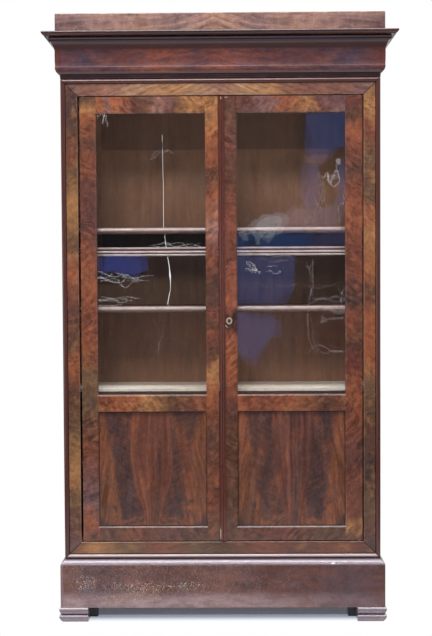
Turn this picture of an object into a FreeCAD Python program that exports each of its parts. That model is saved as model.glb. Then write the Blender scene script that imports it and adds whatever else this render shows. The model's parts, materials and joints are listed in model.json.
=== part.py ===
import FreeCAD, Part
import os

os.makedirs("parts", exist_ok=True)
Vector = FreeCAD.Vector

# A tall mahogany bookcase: moulded plinth on block feet, mitred front frame, two doors with
# glass above and a panel below, adjustable shelves on notched racks, swelled frieze,
# moulded cornice and a plain block above it.  Millimetres, Z up, X to the right.
# Pieces are drawn with Y = 0 at the front of the frame and moved to the part's origin,
# which is under the middle of the overall box, when they are saved.

# Heights, from the floor up
footHeight = 55.0
plinthHeight = 162.2
plinthMouldingHeight = 21.0
frameHeight = 1814.5
friezeHeight = 150.5
slabThickness = 17.0
atticHeight = 72.0

# Case
caseWidth = 1200.0
caseDepth = 372.0
sideThickness = 22.0
plinthProjection = 15.5
footProjection = 21.0
friezeProjection = 15.5
slabProjection = 61.0
atticProjection = 15.0
boardThickness = 22.0

# Front frame
frameFace = 64.0
frameThickness = 28.0
beadRadius = 9.0
bandSetback = 7.0
frameArris = 3.0
mitreGap = 0.7
glueLine = 0.1

# Case top and bottom, rebated so that the doors close against them
caseBoardThickness = 30.0
doorStopHeight = 10.0
stopClearance = 1.2

# Back
backThickness = 22.0
backBoardThickness = 12.0
backStileLeft = 104.0
backStileRight = 88.0
backRailHeight = 60.0
backBoardCount = 4
backTongue = 10.0
shrinkageGap = 4.0

# Doors
doorThickness = 26.0
doorSetback = 9.0
leftHingeGap = 7.0
rightHingeGap = 4.0
doorEndGap = 3.5
meetingGap = 2.0
meetingX = -8.5
leftOuterStile = 61.0
rightOuterStile = 64.0
leftInnerStile = 48.5
rightInnerStile = 68.5
topRail = 62.0
middleRail = 64.4
bottomRail = 55.0
panelHeight = 438.0
doorChamfer = 5.0
tenonEndWall = 2.6
tenonThickness = 8.0
tenonShoulder = 14.0
rebateWidth = 8.0
rebateDepth = 13.0
glassThickness = 3.0
glassClearance = 1.0
panelRecess = 10.0
panelThickness = 9.0
panelClearance = 1.0

# Pivot hinges, let into the ends of the outer stiles
pivotInset = 12.0
pivotDepth = 8.0
pivotRadius = 4.0
pivotLength = 13.0
pivotPlateLength = 46.0
pivotPlateWidth = 12.0
pivotPlateThickness = 3.0
runningFit = 0.05
collarRadius = 6.0
pivotRelief = 7.0

# Strip with two reeds that covers the meeting of the doors
astragalWidth = 23.0
astragalBase = 3.0
reedRadius = 3.6

# Lock in the right door
keyholeInset = 37.3
keyholeZ = 1142.0
keyholeRadius = 2.4
keyholeSlotWidth = 2.6
keyholeSlotDrop = 9.0
lockHeight = 84.0
lockThickness = 12.0
lockLength = 60.0
lockWall = 2.0
lockBoltHeight = 24.0
lockBoltThickness = 7.0
lockBoltLength = 34.0
lockThrow = 11.0
escutcheonWidth = 25.0
escutcheonHeight = 29.0
escutcheonThickness = 1.6
strikeThickness = 2.0
strikeHeight = 52.0
slideClearance = 0.4

# Flush bolts in the edge of the left door
boltRadius = 4.0
boltLength = 96.0
boltThrow = 14.0
boltPlateLength = 150.0
boltPlateWidth = 16.0
boltPlateThickness = 2.5
boltInset = 10.0
thumbWidth = 5.0
thumbHeight = 10.0

# Racks, cleats and shelves
rackWidth = 30.0
rackThickness = 18.0
rackSetback = 12.0
rackPitch = 43.0
notchDepth = 13.0
notchLip = 22.0
firstNotch = 22.5
cleatThickness = 16.0
cleatClearance = 0.5
shelfSetback = 76.0
shelfClearance = 1.0
shelfThickness = 24.0
reededThickness = 20.5
spareThickness = 13.5
fixedThickness = 20.0
fixedShelfTop = 880.0
housingDepth = 8.0
topShelfNotch = 26
reededShelfNotch = 24
middleShelfNotch = 19
lowerShelfNotch = 5

# Feet
footWidth = 110.0
footDepth = 80.0
footSplit = 0.53
lowerTaper = 12.0
upperTaper = 8.0
footQuirk = 1.4
blockWidth = 111.0
blockDepth = 30.0

# Levels and planes worked out from the sizes above
plinthTop = footHeight + plinthHeight
caseBottom = plinthTop + plinthMouldingHeight
caseTop = caseBottom + frameHeight
slabBottom = caseTop + friezeHeight
slabTop = slabBottom + slabThickness
halfCase = caseWidth / 2
insideHalf = halfCase - sideThickness
openingHalf = halfCase - frameFace
openingBottom = caseBottom + frameFace
openingTop = caseTop - frameFace
backPlane = caseDepth - backThickness
originShift = -(caseDepth + slabProjection) / 2 + slabProjection
doorBack = doorSetback + doorThickness
doorBottom = openingBottom + doorEndGap
doorTop = openingTop - doorEndGap
panelBottom = doorBottom + bottomRail
panelTop = panelBottom + panelHeight
glassBottom = panelTop + middleRail
glassTop = doorTop - topRail
pivotY = doorSetback + pivotDepth
caseFloor = openingBottom + doorStopHeight
caseCeiling = openingTop - doorStopHeight
stopPlane = doorBack + stopClearance
# The tenons stop short of the bolts in the narrowest stile.
tenonLength = leftInnerStile - boltInset - boltRadius - slideClearance - tenonEndWall
rackFront = frameThickness + rackSetback
rackBack = backPlane - rackWidth


def save(name, *solids):
    shape = solids[0] if len(solids) == 1 else Part.makeCompound(list(solids))
    shape = shape.copy()
    shape.translate(Vector(0, originShift, 0))
    shape.exportStep("parts/%s.step" % name)


def block(xLow, xHigh, yLow, yHigh, zLow, zHigh):
    return Part.makeBox(xHigh - xLow, yHigh - yLow, zHigh - zLow, Vector(xLow, yLow, zLow))


def outline(start, *steps):
    # A step is an end point, or a (middle, end) pair for an arc.
    edges = []
    here = start
    for step in steps:
        curved = isinstance(step[0], tuple)
        end = step[1] if curved else step
        if curved:
            edges.append(Part.Arc(Vector(*here), Vector(*step[0]), Vector(*end)).toShape())
        else:
            edges.append(Part.makeLine(Vector(*here), Vector(*end)))
        here = end
    edges.append(Part.makeLine(Vector(*here), Vector(*start)))
    return Part.Face(Part.Wire(edges))


def placed(section, origin, across, up):
    # Lays a flat section with its x along across and its y along up.
    out = across.cross(up)
    section = section.copy()
    section.Placement = FreeCAD.Placement(FreeCAD.Matrix(
        across.x, up.x, out.x, origin.x,
        across.y, up.y, out.y, origin.y,
        across.z, up.z, out.z, origin.z,
        0, 0, 0, 1))
    return section


def cutBeyond(shape, point, normal):
    size = 3 * (caseWidth + frameHeight)
    waste = Part.makeBox(size, size, size, Vector(-size / 2, -size / 2, 0))
    waste.Placement = FreeCAD.Placement(point, FreeCAD.Rotation(Vector(0, 0, 1), normal))
    return shape.cut(waste)


def mitredRuns(section, corners, outwards, up, closed=False, gap=0.0):
    # One solid for each straight run between corners, mitred where two runs meet.
    count = len(corners) if closed else len(corners) - 1
    starts = [corners[i] for i in range(count)]
    ends = [corners[(i + 1) % len(corners)] for i in range(count)]
    ways = [(ends[i] - starts[i]).normalize() for i in range(count)]
    reach = 2 * max(section.BoundBox.XLength, section.BoundBox.YLength)
    solids = []
    for i in range(count):
        meetsBefore = closed or i > 0
        meetsAfter = closed or i < count - 1
        start = starts[i] - ways[i] * (reach if meetsBefore else 0)
        end = ends[i] + ways[i] * (reach if meetsAfter else 0)
        solid = placed(section, start, outwards[i], up).extrude(end - start)
        if meetsBefore:
            normal = (ways[i - 1] + ways[i]).normalize()
            solid = cutBeyond(solid, starts[i] + normal * gap / 2, normal * -1)
        if meetsAfter:
            normal = (ways[i] + ways[(i + 1) % count]).normalize()
            solid = cutBeyond(solid, ends[i] - normal * gap / 2, normal)
        solids.append(solid)
    return solids


leftward = Vector(-1, 0, 0)
rightward = Vector(1, 0, 0)
forward = Vector(0, -1, 0)
backward = Vector(0, 1, 0)
upward = Vector(0, 0, 1)
downward = Vector(0, 0, -1)


def aroundCase(section, height, projection=0.0, gap=0.0):
    # Left return, front and right return of a moulding that projects from the case.
    half = halfCase + projection
    corners = [Vector(-half, caseDepth, height), Vector(-half, -projection, height),
               Vector(half, -projection, height), Vector(half, caseDepth, height)]
    left, front, right = mitredRuns(section, corners, [leftward, forward, rightward], upward, gap=gap)
    return front, left, right


def bore(x, y, zLow, zHigh, radius):
    return Part.makeCylinder(radius, zHigh - zLow, Vector(x, y, zLow))


# Feet and plinth -----------------------------------------------------------------------------

def footSection(width):
    # Two cushions, one on the other: each is full near its top and tapers to a sunk line below.
    split = footHeight * footSplit
    steps = []
    for low, high, taper in ((0, split - footQuirk, lowerTaper), (split, footHeight, upperTaper)):
        rise = high - low
        steps += [(-taper, low), ((-0.3 * taper, low + 0.4 * rise), (0, high - 0.28 * rise)),
                  ((-1.4, high - 0.08 * rise), (-4.8, high)), (-upperTaper - 1.5, high)]
    steps[-1] = (-width, footHeight)
    return outline((-width, 0), *steps)


def moulded(side, yLow, frontToo):
    # The outer side is moulded, and the front too on a front foot; the other faces are square.
    outside = Vector(side * (halfCase + footProjection), yLow, 0)
    outward = rightward * side
    foot = placed(footSection(footWidth), outside, outward, upward)
    foot = foot.extrude(backward * footDepth)
    if frontToo:
        across = placed(footSection(footDepth), outside - outward * footWidth, forward, upward)
        foot = foot.common(across.extrude(outward * footWidth))
    return foot


def feet():
    frontRow = -footProjection
    backRow = caseDepth - footDepth
    save("feet_front", moulded(-1, frontRow, True), moulded(1, frontRow, True))
    save("feet_back", moulded(-1, backRow, False), moulded(1, backRow, False))
    inner = halfCase + plinthProjection - boardThickness
    behind = footDepth - footProjection
    blocks = [block(-inner, blockWidth - inner, behind, behind + blockDepth, 0, footHeight),
              block(inner - blockWidth, inner, behind, behind + blockDepth, 0, footHeight)]
    save("foot_blocks", *blocks)


def plinth():
    board = outline((-boardThickness, 0), (0, 0), (0, plinthHeight), (-boardThickness, plinthHeight))
    front, left, right = aroundCase(board, footHeight, plinthProjection)
    save("plinth_front", front)
    save("plinth_returns", left, right)
    inside = halfCase + plinthProjection - boardThickness
    save("plinth_back", block(-inside, inside, caseDepth - boardThickness, caseDepth,
                              footHeight, plinthTop))
    # A hollow above a round nose, running out from under the frame almost to the plinth's face.
    nose = plinthProjection - 1
    height = plinthMouldingHeight
    moulding = outline((-frameThickness - plinthProjection, 0), (nose, 0), (nose, 2.5),
                       ((nose - 1.3, 6), (nose - 4, 7.2)), ((nose - 9.3, 12), (2.2, height)),
                       (-frameThickness - plinthProjection, height))
    save("plinth_moulding", *aroundCase(moulding, plinthTop, gap=glueLine))


# Case ----------------------------------------------------------------------------------------

def frameSection():
    # Half-round bead at the outside, a sunk line, and a flat band with a rounded inner corner.
    bead = 2 * beadRadius
    inner = -frameFace
    soft = frameArris * 0.3
    return outline((0, frameThickness), (0, beadRadius), ((-beadRadius, 0), (-bead, beadRadius)),
                   (-bead - 1.2, bandSetback), (inner + frameArris, bandSetback),
                   ((inner + soft, bandSetback + soft), (inner, bandSetback + frameArris)),
                   (inner, frameThickness))


def frontFrame():
    corners = [Vector(-halfCase, 0, caseBottom), Vector(-halfCase, 0, caseTop),
               Vector(halfCase, 0, caseTop), Vector(halfCase, 0, caseBottom)]
    left, top, right, bottom = mitredRuns(frameSection(), corners,
                                          [leftward, upward, rightward, downward],
                                          backward, closed=True, gap=mitreGap)
    for x in (leftPivotX, rightPivotX):
        top = top.cut(pivotSeat(x, openingTop, 1, pivotRadius + 0.5))
        bottom = bottom.cut(pivotSeat(x, openingBottom, -1, pivotRadius + 0.5))
    depth = boltThrow + 2
    top = top.cut(bore(boltX, boltY, openingTop - 1, openingTop + depth, boltRadius + slideClearance))
    bottom = bottom.cut(bore(boltX, boltY, openingBottom - depth, openingBottom + 1,
                             boltRadius + slideClearance))
    save("frame_left", left)
    save("frame_right", right)
    save("frame_top", top)
    save("frame_bottom", bottom)


def sides():
    inner = insideHalf
    housing = block(-inner - housingDepth, inner + housingDepth, shelfSetback, backPlane,
                    fixedShelfTop - fixedThickness, fixedShelfTop)
    for name, xLow in (("side_left", -halfCase), ("side_right", inner)):
        side = block(xLow, xLow + sideThickness, frameThickness, caseDepth, caseBottom, caseTop)
        save(name, side.cut(housing))


def caseBoards():
    # Each board has a rebate along its front, so that its inner face stops the doors.
    for name, level, way in (("case_bottom", openingBottom, 1), ("case_top", openingTop, -1)):
        stop = level + way * doorStopHeight
        outer = stop - way * caseBoardThickness
        board = outline((frameThickness, outer), (frameThickness, level), (stopPlane, level),
                        (stopPlane, stop), (backPlane, stop), (backPlane, outer))
        board = placed(board, Vector(-insideHalf, 0, 0), backward, upward)
        save(name, board.extrude(rightward * (2 * insideHalf)))


def back():
    inner = insideHalf
    groove = backPlane + backBoardThickness
    low = caseBottom
    high = caseTop
    leftEdge = backStileLeft - inner
    rightEdge = inner - backStileRight
    boards = block(leftEdge - backTongue, rightEdge + backTongue, backPlane, groove,
                   low + backRailHeight - backTongue, high - backRailHeight + backTongue)
    stileLeft = block(-inner, leftEdge, backPlane, caseDepth, low, high).cut(boards)
    stileRight = block(rightEdge, inner, backPlane, caseDepth, low, high).cut(boards)
    railLow = block(leftEdge, rightEdge, backPlane, caseDepth, low, low + backRailHeight)
    railHigh = block(leftEdge, rightEdge, backPlane, caseDepth, high - backRailHeight, high)
    save("back_frame", stileLeft, stileRight, railLow.cut(boards), railHigh.cut(boards))

    # Vertical boards.  The first has shrunk away from its neighbour and its stile at the top.
    boardLow = low + backRailHeight - backTongue
    boardHigh = high - backRailHeight + backTongue
    width = (rightEdge - leftEdge) / backBoardCount
    gapFoot = openingBottom + 0.52 * (openingTop - openingBottom)
    wedgeFoot = openingTop - 130
    solids = []
    for i in range(backBoardCount):
        xLow = leftEdge + i * width - (backTongue if i == 0 else 0)
        xHigh = leftEdge + (i + 1) * width + (backTongue if i == backBoardCount - 1 else 0)
        if i > 0:
            xLow += 0.4
        face = [(xLow, boardLow), (xHigh, boardLow), (xHigh, boardHigh), (xLow, boardHigh)]
        if i == 0:
            face = [(xLow, boardLow), (xHigh, boardLow), (xHigh, gapFoot),
                    (xHigh - shrinkageGap, boardHigh), (leftEdge + shrinkageGap, boardHigh),
                    (leftEdge, wedgeFoot), (xLow, wedgeFoot)]
        board = placed(outline(*face), Vector(0, backPlane, 0), rightward, upward)
        solids.append(board.extrude(backward * backBoardThickness))
    save("back_boards", *solids)


# Cornice -------------------------------------------------------------------------------------

def friezeSection():
    # From below: a neck, a face that swells out of it, a hollow and a nose with a round underside.
    swell = friezeProjection
    height = friezeHeight
    inner = -boardThickness + 4
    neck = 13.5
    nose = swell + 21.5
    return outline((inner, 0), (-0.5, 0), (-0.5, neck),
                   ((swell - 4.8, neck + 8.5), (swell, neck + 30)),
                   ((swell + 0.9, height - 80), (swell + 0.8, height - 49)),
                   ((swell + 4.6, height - 36), (swell + 13, height - 21)),
                   (swell + 14.5, height - 20), ((nose - 1.8, height - 14.5), (nose, height - 6)),
                   ((nose - 1.2, height - 2), (nose - 4, height)), (inner, height))


def slabSection(depth):
    # The edge is a long thumb: round under from the nose, with a small round above it.
    edge = slabProjection
    return outline((edge - depth, 0), (edge - 15.5, 0), ((edge - 3.6, 5.6), (edge, slabThickness - 5)),
                   ((edge - 1.5, slabThickness - 1.5), (edge - 5, slabThickness)),
                   (edge - depth, slabThickness))


def cornice():
    inner = -boardThickness + 4
    front, left, right = aroundCase(friezeSection(), caseTop)
    save("frieze_front", front)
    save("frieze_returns", left, right)
    inside = halfCase + inner
    save("cornice_back_rail", block(-inside, inside, caseDepth - boardThickness, caseDepth,
                                    caseTop, slabBottom))

    edges = aroundCase(slabSection(2 * slabProjection), slabBottom)
    core = block(-halfCase, halfCase, 0, caseDepth, slabBottom, slabTop)
    save("cornice_slab", core.fuse(list(edges)).removeSplitter())

    wall = outline((-boardThickness, 0), (0, 0), (0, atticHeight - 2), (-2, atticHeight),
                   (-boardThickness, atticHeight))
    front, left, right = aroundCase(wall, slabTop, atticProjection)
    save("attic_front", front)
    save("attic_returns", left, right)


# Racks and shelves ---------------------------------------------------------------------------

def notchLevel(index):
    return caseFloor + firstNotch + index * rackPitch


def rackSection():
    # A strip with one straight edge; each notch has a level ledge and a sloping throat.
    height = caseCeiling - caseFloor
    points = [(0, 0), (rackWidth, 0)]
    count = int((height - firstNotch - rackPitch * 0.6) // rackPitch) + 1
    for i in range(count):
        ledge = firstNotch + i * rackPitch
        points += [(rackWidth, ledge), (rackWidth - notchDepth, ledge),
                   (rackWidth - notchDepth, ledge + notchLip - notchDepth),
                   (rackWidth, ledge + notchLip)]
    points += [(rackWidth, height), (0, height)]
    return outline(*points)


def racks():
    section = rackSection()
    for name, xLow in (("racks_left", -insideHalf), ("racks_right", insideHalf - rackThickness)):
        pair = [placed(section, Vector(xLow, rackFront, caseFloor), backward, upward),
                placed(section, Vector(xLow, backPlane, caseFloor), forward, upward)]
        save(name, *[rack.extrude(rightward * rackThickness) for rack in pair])


def cleat(xLow, index):
    # Its ends are cut to the shape of the notches that they rest in.
    start = rackFront + rackWidth - notchDepth + cleatClearance
    end = rackBack + notchDepth - cleatClearance
    face = notchDepth - cleatClearance
    throat = notchLip - notchDepth - cleatClearance
    bottom = notchLevel(index)
    section = outline((start, bottom), (end, bottom), (end, bottom + throat),
                      (end - face, bottom + notchLip - cleatClearance),
                      (start + face, bottom + notchLip - cleatClearance), (start, bottom + throat))
    return placed(section, Vector(xLow, 0, 0), backward, upward).extrude(rightward * cleatThickness)


def shelfUnder(index):
    return notchLevel(index) + notchLip - cleatClearance


def shelf(section, half):
    # A board with the section given in (depth, height), cut out round the back racks.
    board = placed(section, Vector(-half, 0, 0), backward, upward).extrude(rightward * (2 * half))
    cut = insideHalf - rackThickness - shelfClearance
    for side in (-1, 1):
        xLow, xHigh = sorted((side * cut, side * (insideHalf + housingDepth + 1)))
        board = board.cut(block(xLow, xHigh, rackBack - shelfClearance, caseDepth, 0, slabTop))
    return board


def roundedEdge(bottom, thickness):
    radius = thickness / 2
    front = shelfSetback
    return outline((backPlane - shelfClearance, bottom), (front + radius, bottom),
                   ((front, bottom + radius), (front + radius, bottom + thickness)),
                   (backPlane - shelfClearance, bottom + thickness))


def reededEdge(bottom, thickness):
    radius = thickness / 4
    front = shelfSetback
    return outline((backPlane - shelfClearance, bottom), (front + radius, bottom),
                   ((front, bottom + radius), (front + radius, bottom + 2 * radius)),
                   ((front, bottom + 3 * radius), (front + radius, bottom + thickness)),
                   (backPlane - shelfClearance, bottom + thickness))


def squareEdge(bottom, thickness, front, backEdge):
    return outline((backEdge, bottom), (front, bottom), (front, bottom + thickness),
                   (backEdge, bottom + thickness))


def shelves():
    half = insideHalf - shelfClearance
    save("shelf_top", shelf(roundedEdge(shelfUnder(topShelfNotch), shelfThickness), half))
    save("shelf_reeded", shelf(reededEdge(shelfUnder(reededShelfNotch), reededThickness), half))
    save("shelf_middle", shelf(roundedEdge(shelfUnder(middleShelfNotch), shelfThickness), half))
    save("shelf_lower", shelf(roundedEdge(shelfUnder(lowerShelfNotch), shelfThickness), half))
    spareBottom = shelfUnder(reededShelfNotch) + reededThickness
    spare = squareEdge(spareBottom, spareThickness, shelfSetback + 3, backPlane - 12)
    save("spare_board", shelf(spare, half - 4))
    fixed = squareEdge(fixedShelfTop - fixedThickness, fixedThickness, shelfSetback, backPlane)
    save("shelf_fixed", shelf(fixed, insideHalf + housingDepth))
    cleats = []
    for index in (topShelfNotch, reededShelfNotch, middleShelfNotch, lowerShelfNotch):
        cleats += [cleat(-insideHalf, index), cleat(insideHalf - cleatThickness, index)]
    save("shelf_cleats", *cleats)


# Doors ---------------------------------------------------------------------------------------

leftOuter = -openingHalf + leftHingeGap
leftInner = meetingX - meetingGap / 2
rightOuter = openingHalf - rightHingeGap
rightInner = meetingX + meetingGap / 2
leftPivotX = leftOuter + pivotInset
rightPivotX = rightOuter - pivotInset
boltX = leftInner - boltInset
keyholeX = rightInner + keyholeInset
boltY = doorSetback + doorThickness / 2


def openingCutter(xLow, xHigh, zLow, zHigh):
    # The opening itself, with a bevel round its front edge.
    through = block(xLow, xHigh, doorSetback - 1, doorBack + 1, zLow, zHigh)
    bevel = doorChamfer
    front = Part.makeWedge(xLow - bevel, doorSetback, zLow - bevel, zLow, xLow,
                           xHigh + bevel, doorSetback + bevel, zHigh + bevel, zHigh, xHigh)
    return through.fuse(front)


def pivotSeat(x, level, way, radius):
    # The plate's recess and the pin's hole, cut from a face at level; way is 1 for upwards.
    deep = level + way * pivotPlateThickness
    zLow, zHigh = sorted((level - way, deep))
    towards = -1 if x > 0 else 1
    xLow, xHigh = sorted((x - towards * (pivotInset - 2), x + towards * (pivotPlateLength - pivotInset)))
    plate = block(xLow, xHigh, pivotY - pivotPlateWidth / 2, pivotY + pivotPlateWidth / 2, zLow, zHigh)
    bottom, top = sorted((level, level + way * (pivotLength + 1)))
    return plate.fuse(bore(x, pivotY, bottom, top, radius))


def pivotPlate(x, level, way):
    zLow, zHigh = sorted((level, level + way * pivotPlateThickness))
    towards = -1 if x > 0 else 1
    xLow, xHigh = sorted((x - towards * (pivotInset - 2), x + towards * (pivotPlateLength - pivotInset)))
    return block(xLow, xHigh, pivotY - pivotPlateWidth / 2, pivotY + pivotPlateWidth / 2, zLow, zHigh)


def pivotPin(x, level, way):
    # A plate in the end of the stile carries a collar and the pin that turns in the frame.
    plate = pivotPlate(x, level, -way)
    gapFilled = doorEndGap - 0.3
    collarLow, collarHigh = sorted((level, level + way * gapFilled))
    pinLow, pinHigh = sorted((level, level + way * (doorEndGap + pivotLength)))
    collar = bore(x, pivotY, collarLow, collarHigh, collarRadius)
    return plate.fuse([collar, bore(x, pivotY, pinLow, pinHigh, pivotRadius)]).removeSplitter()


def relieved(stile, edgeX):
    # The back corner beside the pivot is bevelled, so that it clears the stops as the door turns.
    corner = outline((-pivotRelief, 0), (0, -pivotRelief), (1, -pivotRelief), (1, 1), (-pivotRelief, 1))
    outward = rightward if edgeX > 0 else leftward
    corner = placed(corner, Vector(edgeX, doorBack, doorBottom), outward, backward)
    return stile.cut(corner.extrude(upward * (doorTop - doorBottom)))


def pivotSockets():
    sockets = []
    for x in (leftPivotX, rightPivotX):
        for level, way in ((openingTop, 1), (openingBottom, -1)):
            hole = bore(x, pivotY, level - 20, level + 20, pivotRadius + runningFit)
            sockets.append(pivotPlate(x, level, way).cut(hole))
    save("pivot_sockets", *sockets)


def doorMembers(side, outer, inner, outerSight, innerSight):
    # Two stiles and three rails, tenoned, with a rebate for the glass and a groove for the panel.
    sightLow, sightHigh = sorted((outerSight, innerSight))
    glassHole = openingCutter(sightLow, sightHigh, glassBottom, glassTop)
    rebate = block(sightLow - rebateWidth, sightHigh + rebateWidth, doorSetback + rebateDepth,
                   doorBack + 1, glassBottom - rebateWidth, glassTop + rebateWidth)
    panelHole = openingCutter(sightLow, sightHigh, panelBottom, panelTop)
    groove = block(sightLow - rebateWidth, sightHigh + rebateWidth, doorSetback + panelRecess,
                   doorSetback + panelRecess + panelThickness, panelBottom - rebateWidth,
                   panelTop + rebateWidth)
    waste = glassHole.fuse([rebate, panelHole, groove])
    tenonY = doorSetback + (doorThickness - tenonThickness) / 2

    rails = {}
    tenons = []
    levels = (("top_rail", glassTop, doorTop), ("middle_rail", panelTop, glassBottom),
              ("bottom_rail", doorBottom, panelBottom))
    for name, zLow, zHigh in levels:
        body = block(sightLow, sightHigh, doorSetback, doorBack, zLow, zHigh)
        tenon = block(sightLow - tenonLength, sightHigh + tenonLength, tenonY,
                      tenonY + tenonThickness, zLow + tenonShoulder, zHigh - tenonShoulder)
        tenons.append(tenon)
        rails[name] = body.fuse(tenon).removeSplitter().cut(waste)
    stiles = {}
    for name, first, second in (("outer_stile", outer, outerSight), ("inner_stile", innerSight, inner)):
        xLow, xHigh = sorted((first, second))
        stile = block(xLow, xHigh, doorSetback, doorBack, doorBottom, doorTop)
        stiles[name] = stile.cut(waste).cut(Part.makeCompound(tenons))
    for name, shape in rails.items():
        save("%s_%s" % (side, name), shape)
    return stiles


def glazing(side, sightLow, sightHigh):
    fit = rebateWidth - glassClearance
    glassY = doorSetback + rebateDepth
    save(side + "_glass", block(sightLow - fit, sightHigh + fit, glassY, glassY + glassThickness,
                                glassBottom - fit, glassTop + fit))
    panelFit = rebateWidth - panelClearance
    panelY = doorSetback + panelRecess
    save(side + "_panel", block(sightLow - panelFit, sightHigh + panelFit, panelY,
                                panelY + panelThickness, panelBottom - panelFit,
                                panelTop + panelFit))
    # Small wooden beads, mitred, hold the glass from behind.
    beadDepth = doorBack - glassY - glassThickness
    bead = outline((0, 0), (0, beadDepth), (-rebateWidth + beadDepth * 0.5, beadDepth),
                   (-rebateWidth, beadDepth * 0.45), (-rebateWidth, 0))
    low = glassBottom - rebateWidth
    high = glassTop + rebateWidth
    startY = glassY + glassThickness
    corners = [Vector(sightLow - rebateWidth, startY, low), Vector(sightLow - rebateWidth, startY, high),
               Vector(sightHigh + rebateWidth, startY, high), Vector(sightHigh + rebateWidth, startY, low)]
    save(side + "_glazing_beads", *mitredRuns(bead, corners, [leftward, upward, rightward, downward],
                                              backward, closed=True, gap=glueLine))


def leftDoor():
    outerSight = leftOuter + leftOuterStile
    innerSight = leftInner - leftInnerStile
    stiles = doorMembers("left", leftOuter, leftInner, outerSight, innerSight)
    outer = stiles["outer_stile"]
    inner = stiles["inner_stile"]
    pins = []
    for level, way in ((doorTop, 1), (doorBottom, -1)):
        pin = pivotPin(leftPivotX, level, way)
        outer = outer.cut(pin)
        pins.append(pin)
    save("left_pivot_pins", *pins)
    save("left_outer_stile", relieved(outer, leftOuter))

    plates = []
    for name, level, way in (("left_top_bolt", doorTop, 1), ("left_bottom_bolt", doorBottom, -1)):
        bolt, plate, room = flushBolt(level, way)
        inner = inner.cut(room).cut(plate)
        plates.append(plate.cut(room))
        save(name, bolt)
    save("bolt_plates", *plates)

    strike = block(leftInner - strikeThickness, leftInner, lockY - 3, doorBack - 2,
                   keyholeZ - strikeHeight / 2, keyholeZ + strikeHeight / 2)
    mortise = lockBoltBlock(slideClearance).copy()
    mortise.translate(leftward * (meetingGap + lockThrow))
    inner = inner.cut(strike).cut(mortise)
    save("strike_plate", strike.cut(mortise))
    save("left_inner_stile", inner)
    glazing("left", outerSight, innerSight)


def flushBolt(level, way):
    # A round bolt in a bore along the stile, moved by a thumb piece in the slotted edge plate.
    tip = level - way * 0.5
    end = level - way * boltLength
    zLow, zHigh = sorted((tip, end))
    rod = bore(boltX, boltY, zLow, zHigh, boltRadius)
    thumbNear = end + way * 4
    thumbLow, thumbHigh = sorted((thumbNear, thumbNear + way * thumbHeight))
    thumb = block(boltX, leftInner - 0.2, boltY - thumbWidth / 2, boltY + thumbWidth / 2,
                  thumbLow, thumbHigh)
    roomLow, roomHigh = sorted((end - way * 1, level + way))
    room = bore(boltX, boltY, roomLow, roomHigh, boltRadius + slideClearance)
    slotLow, slotHigh = sorted((thumbNear - way, thumbNear + way * (thumbHeight + boltThrow + 1)))
    wide = thumbWidth / 2 + slideClearance
    slot = block(boltX, leftInner + 1, boltY - wide, boltY + wide, slotLow, slotHigh)
    plateLow, plateHigh = sorted((level, level - way * boltPlateLength))
    plate = block(leftInner - boltPlateThickness, leftInner, boltY - boltPlateWidth / 2,
                  boltY + boltPlateWidth / 2, plateLow, plateHigh)
    return rod.fuse(thumb).removeSplitter(), plate, room.fuse(slot)


lockY = doorBack - lockThickness


def lockBoltBlock(clearance):
    wide = lockBoltThickness / 2 + clearance
    tall = lockBoltHeight / 2 + clearance
    middle = doorBack - lockThickness / 2
    return block(rightInner + 0.2 - clearance, rightInner + 0.2 + lockBoltLength + clearance,
                 middle - wide, middle + wide, keyholeZ - tall, keyholeZ + tall)


def keyhole(yLow, yHigh):
    # Round above, with a narrow slot hanging from it.
    hole = Part.makeCylinder(keyholeRadius, yHigh - yLow, Vector(keyholeX, yLow, keyholeZ + 3), backward)
    slot = block(keyholeX - keyholeSlotWidth / 2, keyholeX + keyholeSlotWidth / 2, yLow, yHigh,
                 keyholeZ + 3 - keyholeSlotDrop, keyholeZ + 3)
    return hole.fuse(slot)


def lock():
    case = block(rightInner, rightInner + lockLength, lockY, doorBack,
                 keyholeZ - lockHeight / 2, keyholeZ + lockHeight / 2)
    room = lockBoltBlock(slideClearance)
    way = room.copy()
    way.translate(leftward * lockThrow)
    save("lock_case", case.cut(room.fuse(way)).cut(keyhole(lockY - 1, lockY + lockWall)))
    save("lock_bolt", lockBoltBlock(0))
    plate = Part.Ellipse(Vector(0, 0, 0), escutcheonHeight / 2, escutcheonWidth / 2).toShape()
    plate = Part.Face(Part.Wire([plate])).extrude(Vector(0, 0, escutcheonThickness))
    rim = [edge for edge in plate.Edges if edge.BoundBox.ZMin > escutcheonThickness - 0.1]
    plate = plate.makeChamfer(0.6, rim)
    plate = placed(plate, Vector(keyholeX, doorSetback, keyholeZ), upward, rightward)
    if plate.BoundBox.YMin > doorSetback - 0.1:
        plate = plate.mirror(Vector(0, doorSetback, 0), backward)
    save("escutcheon", plate.cut(keyhole(doorSetback - 10, doorSetback + 1)))
    return case


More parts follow.
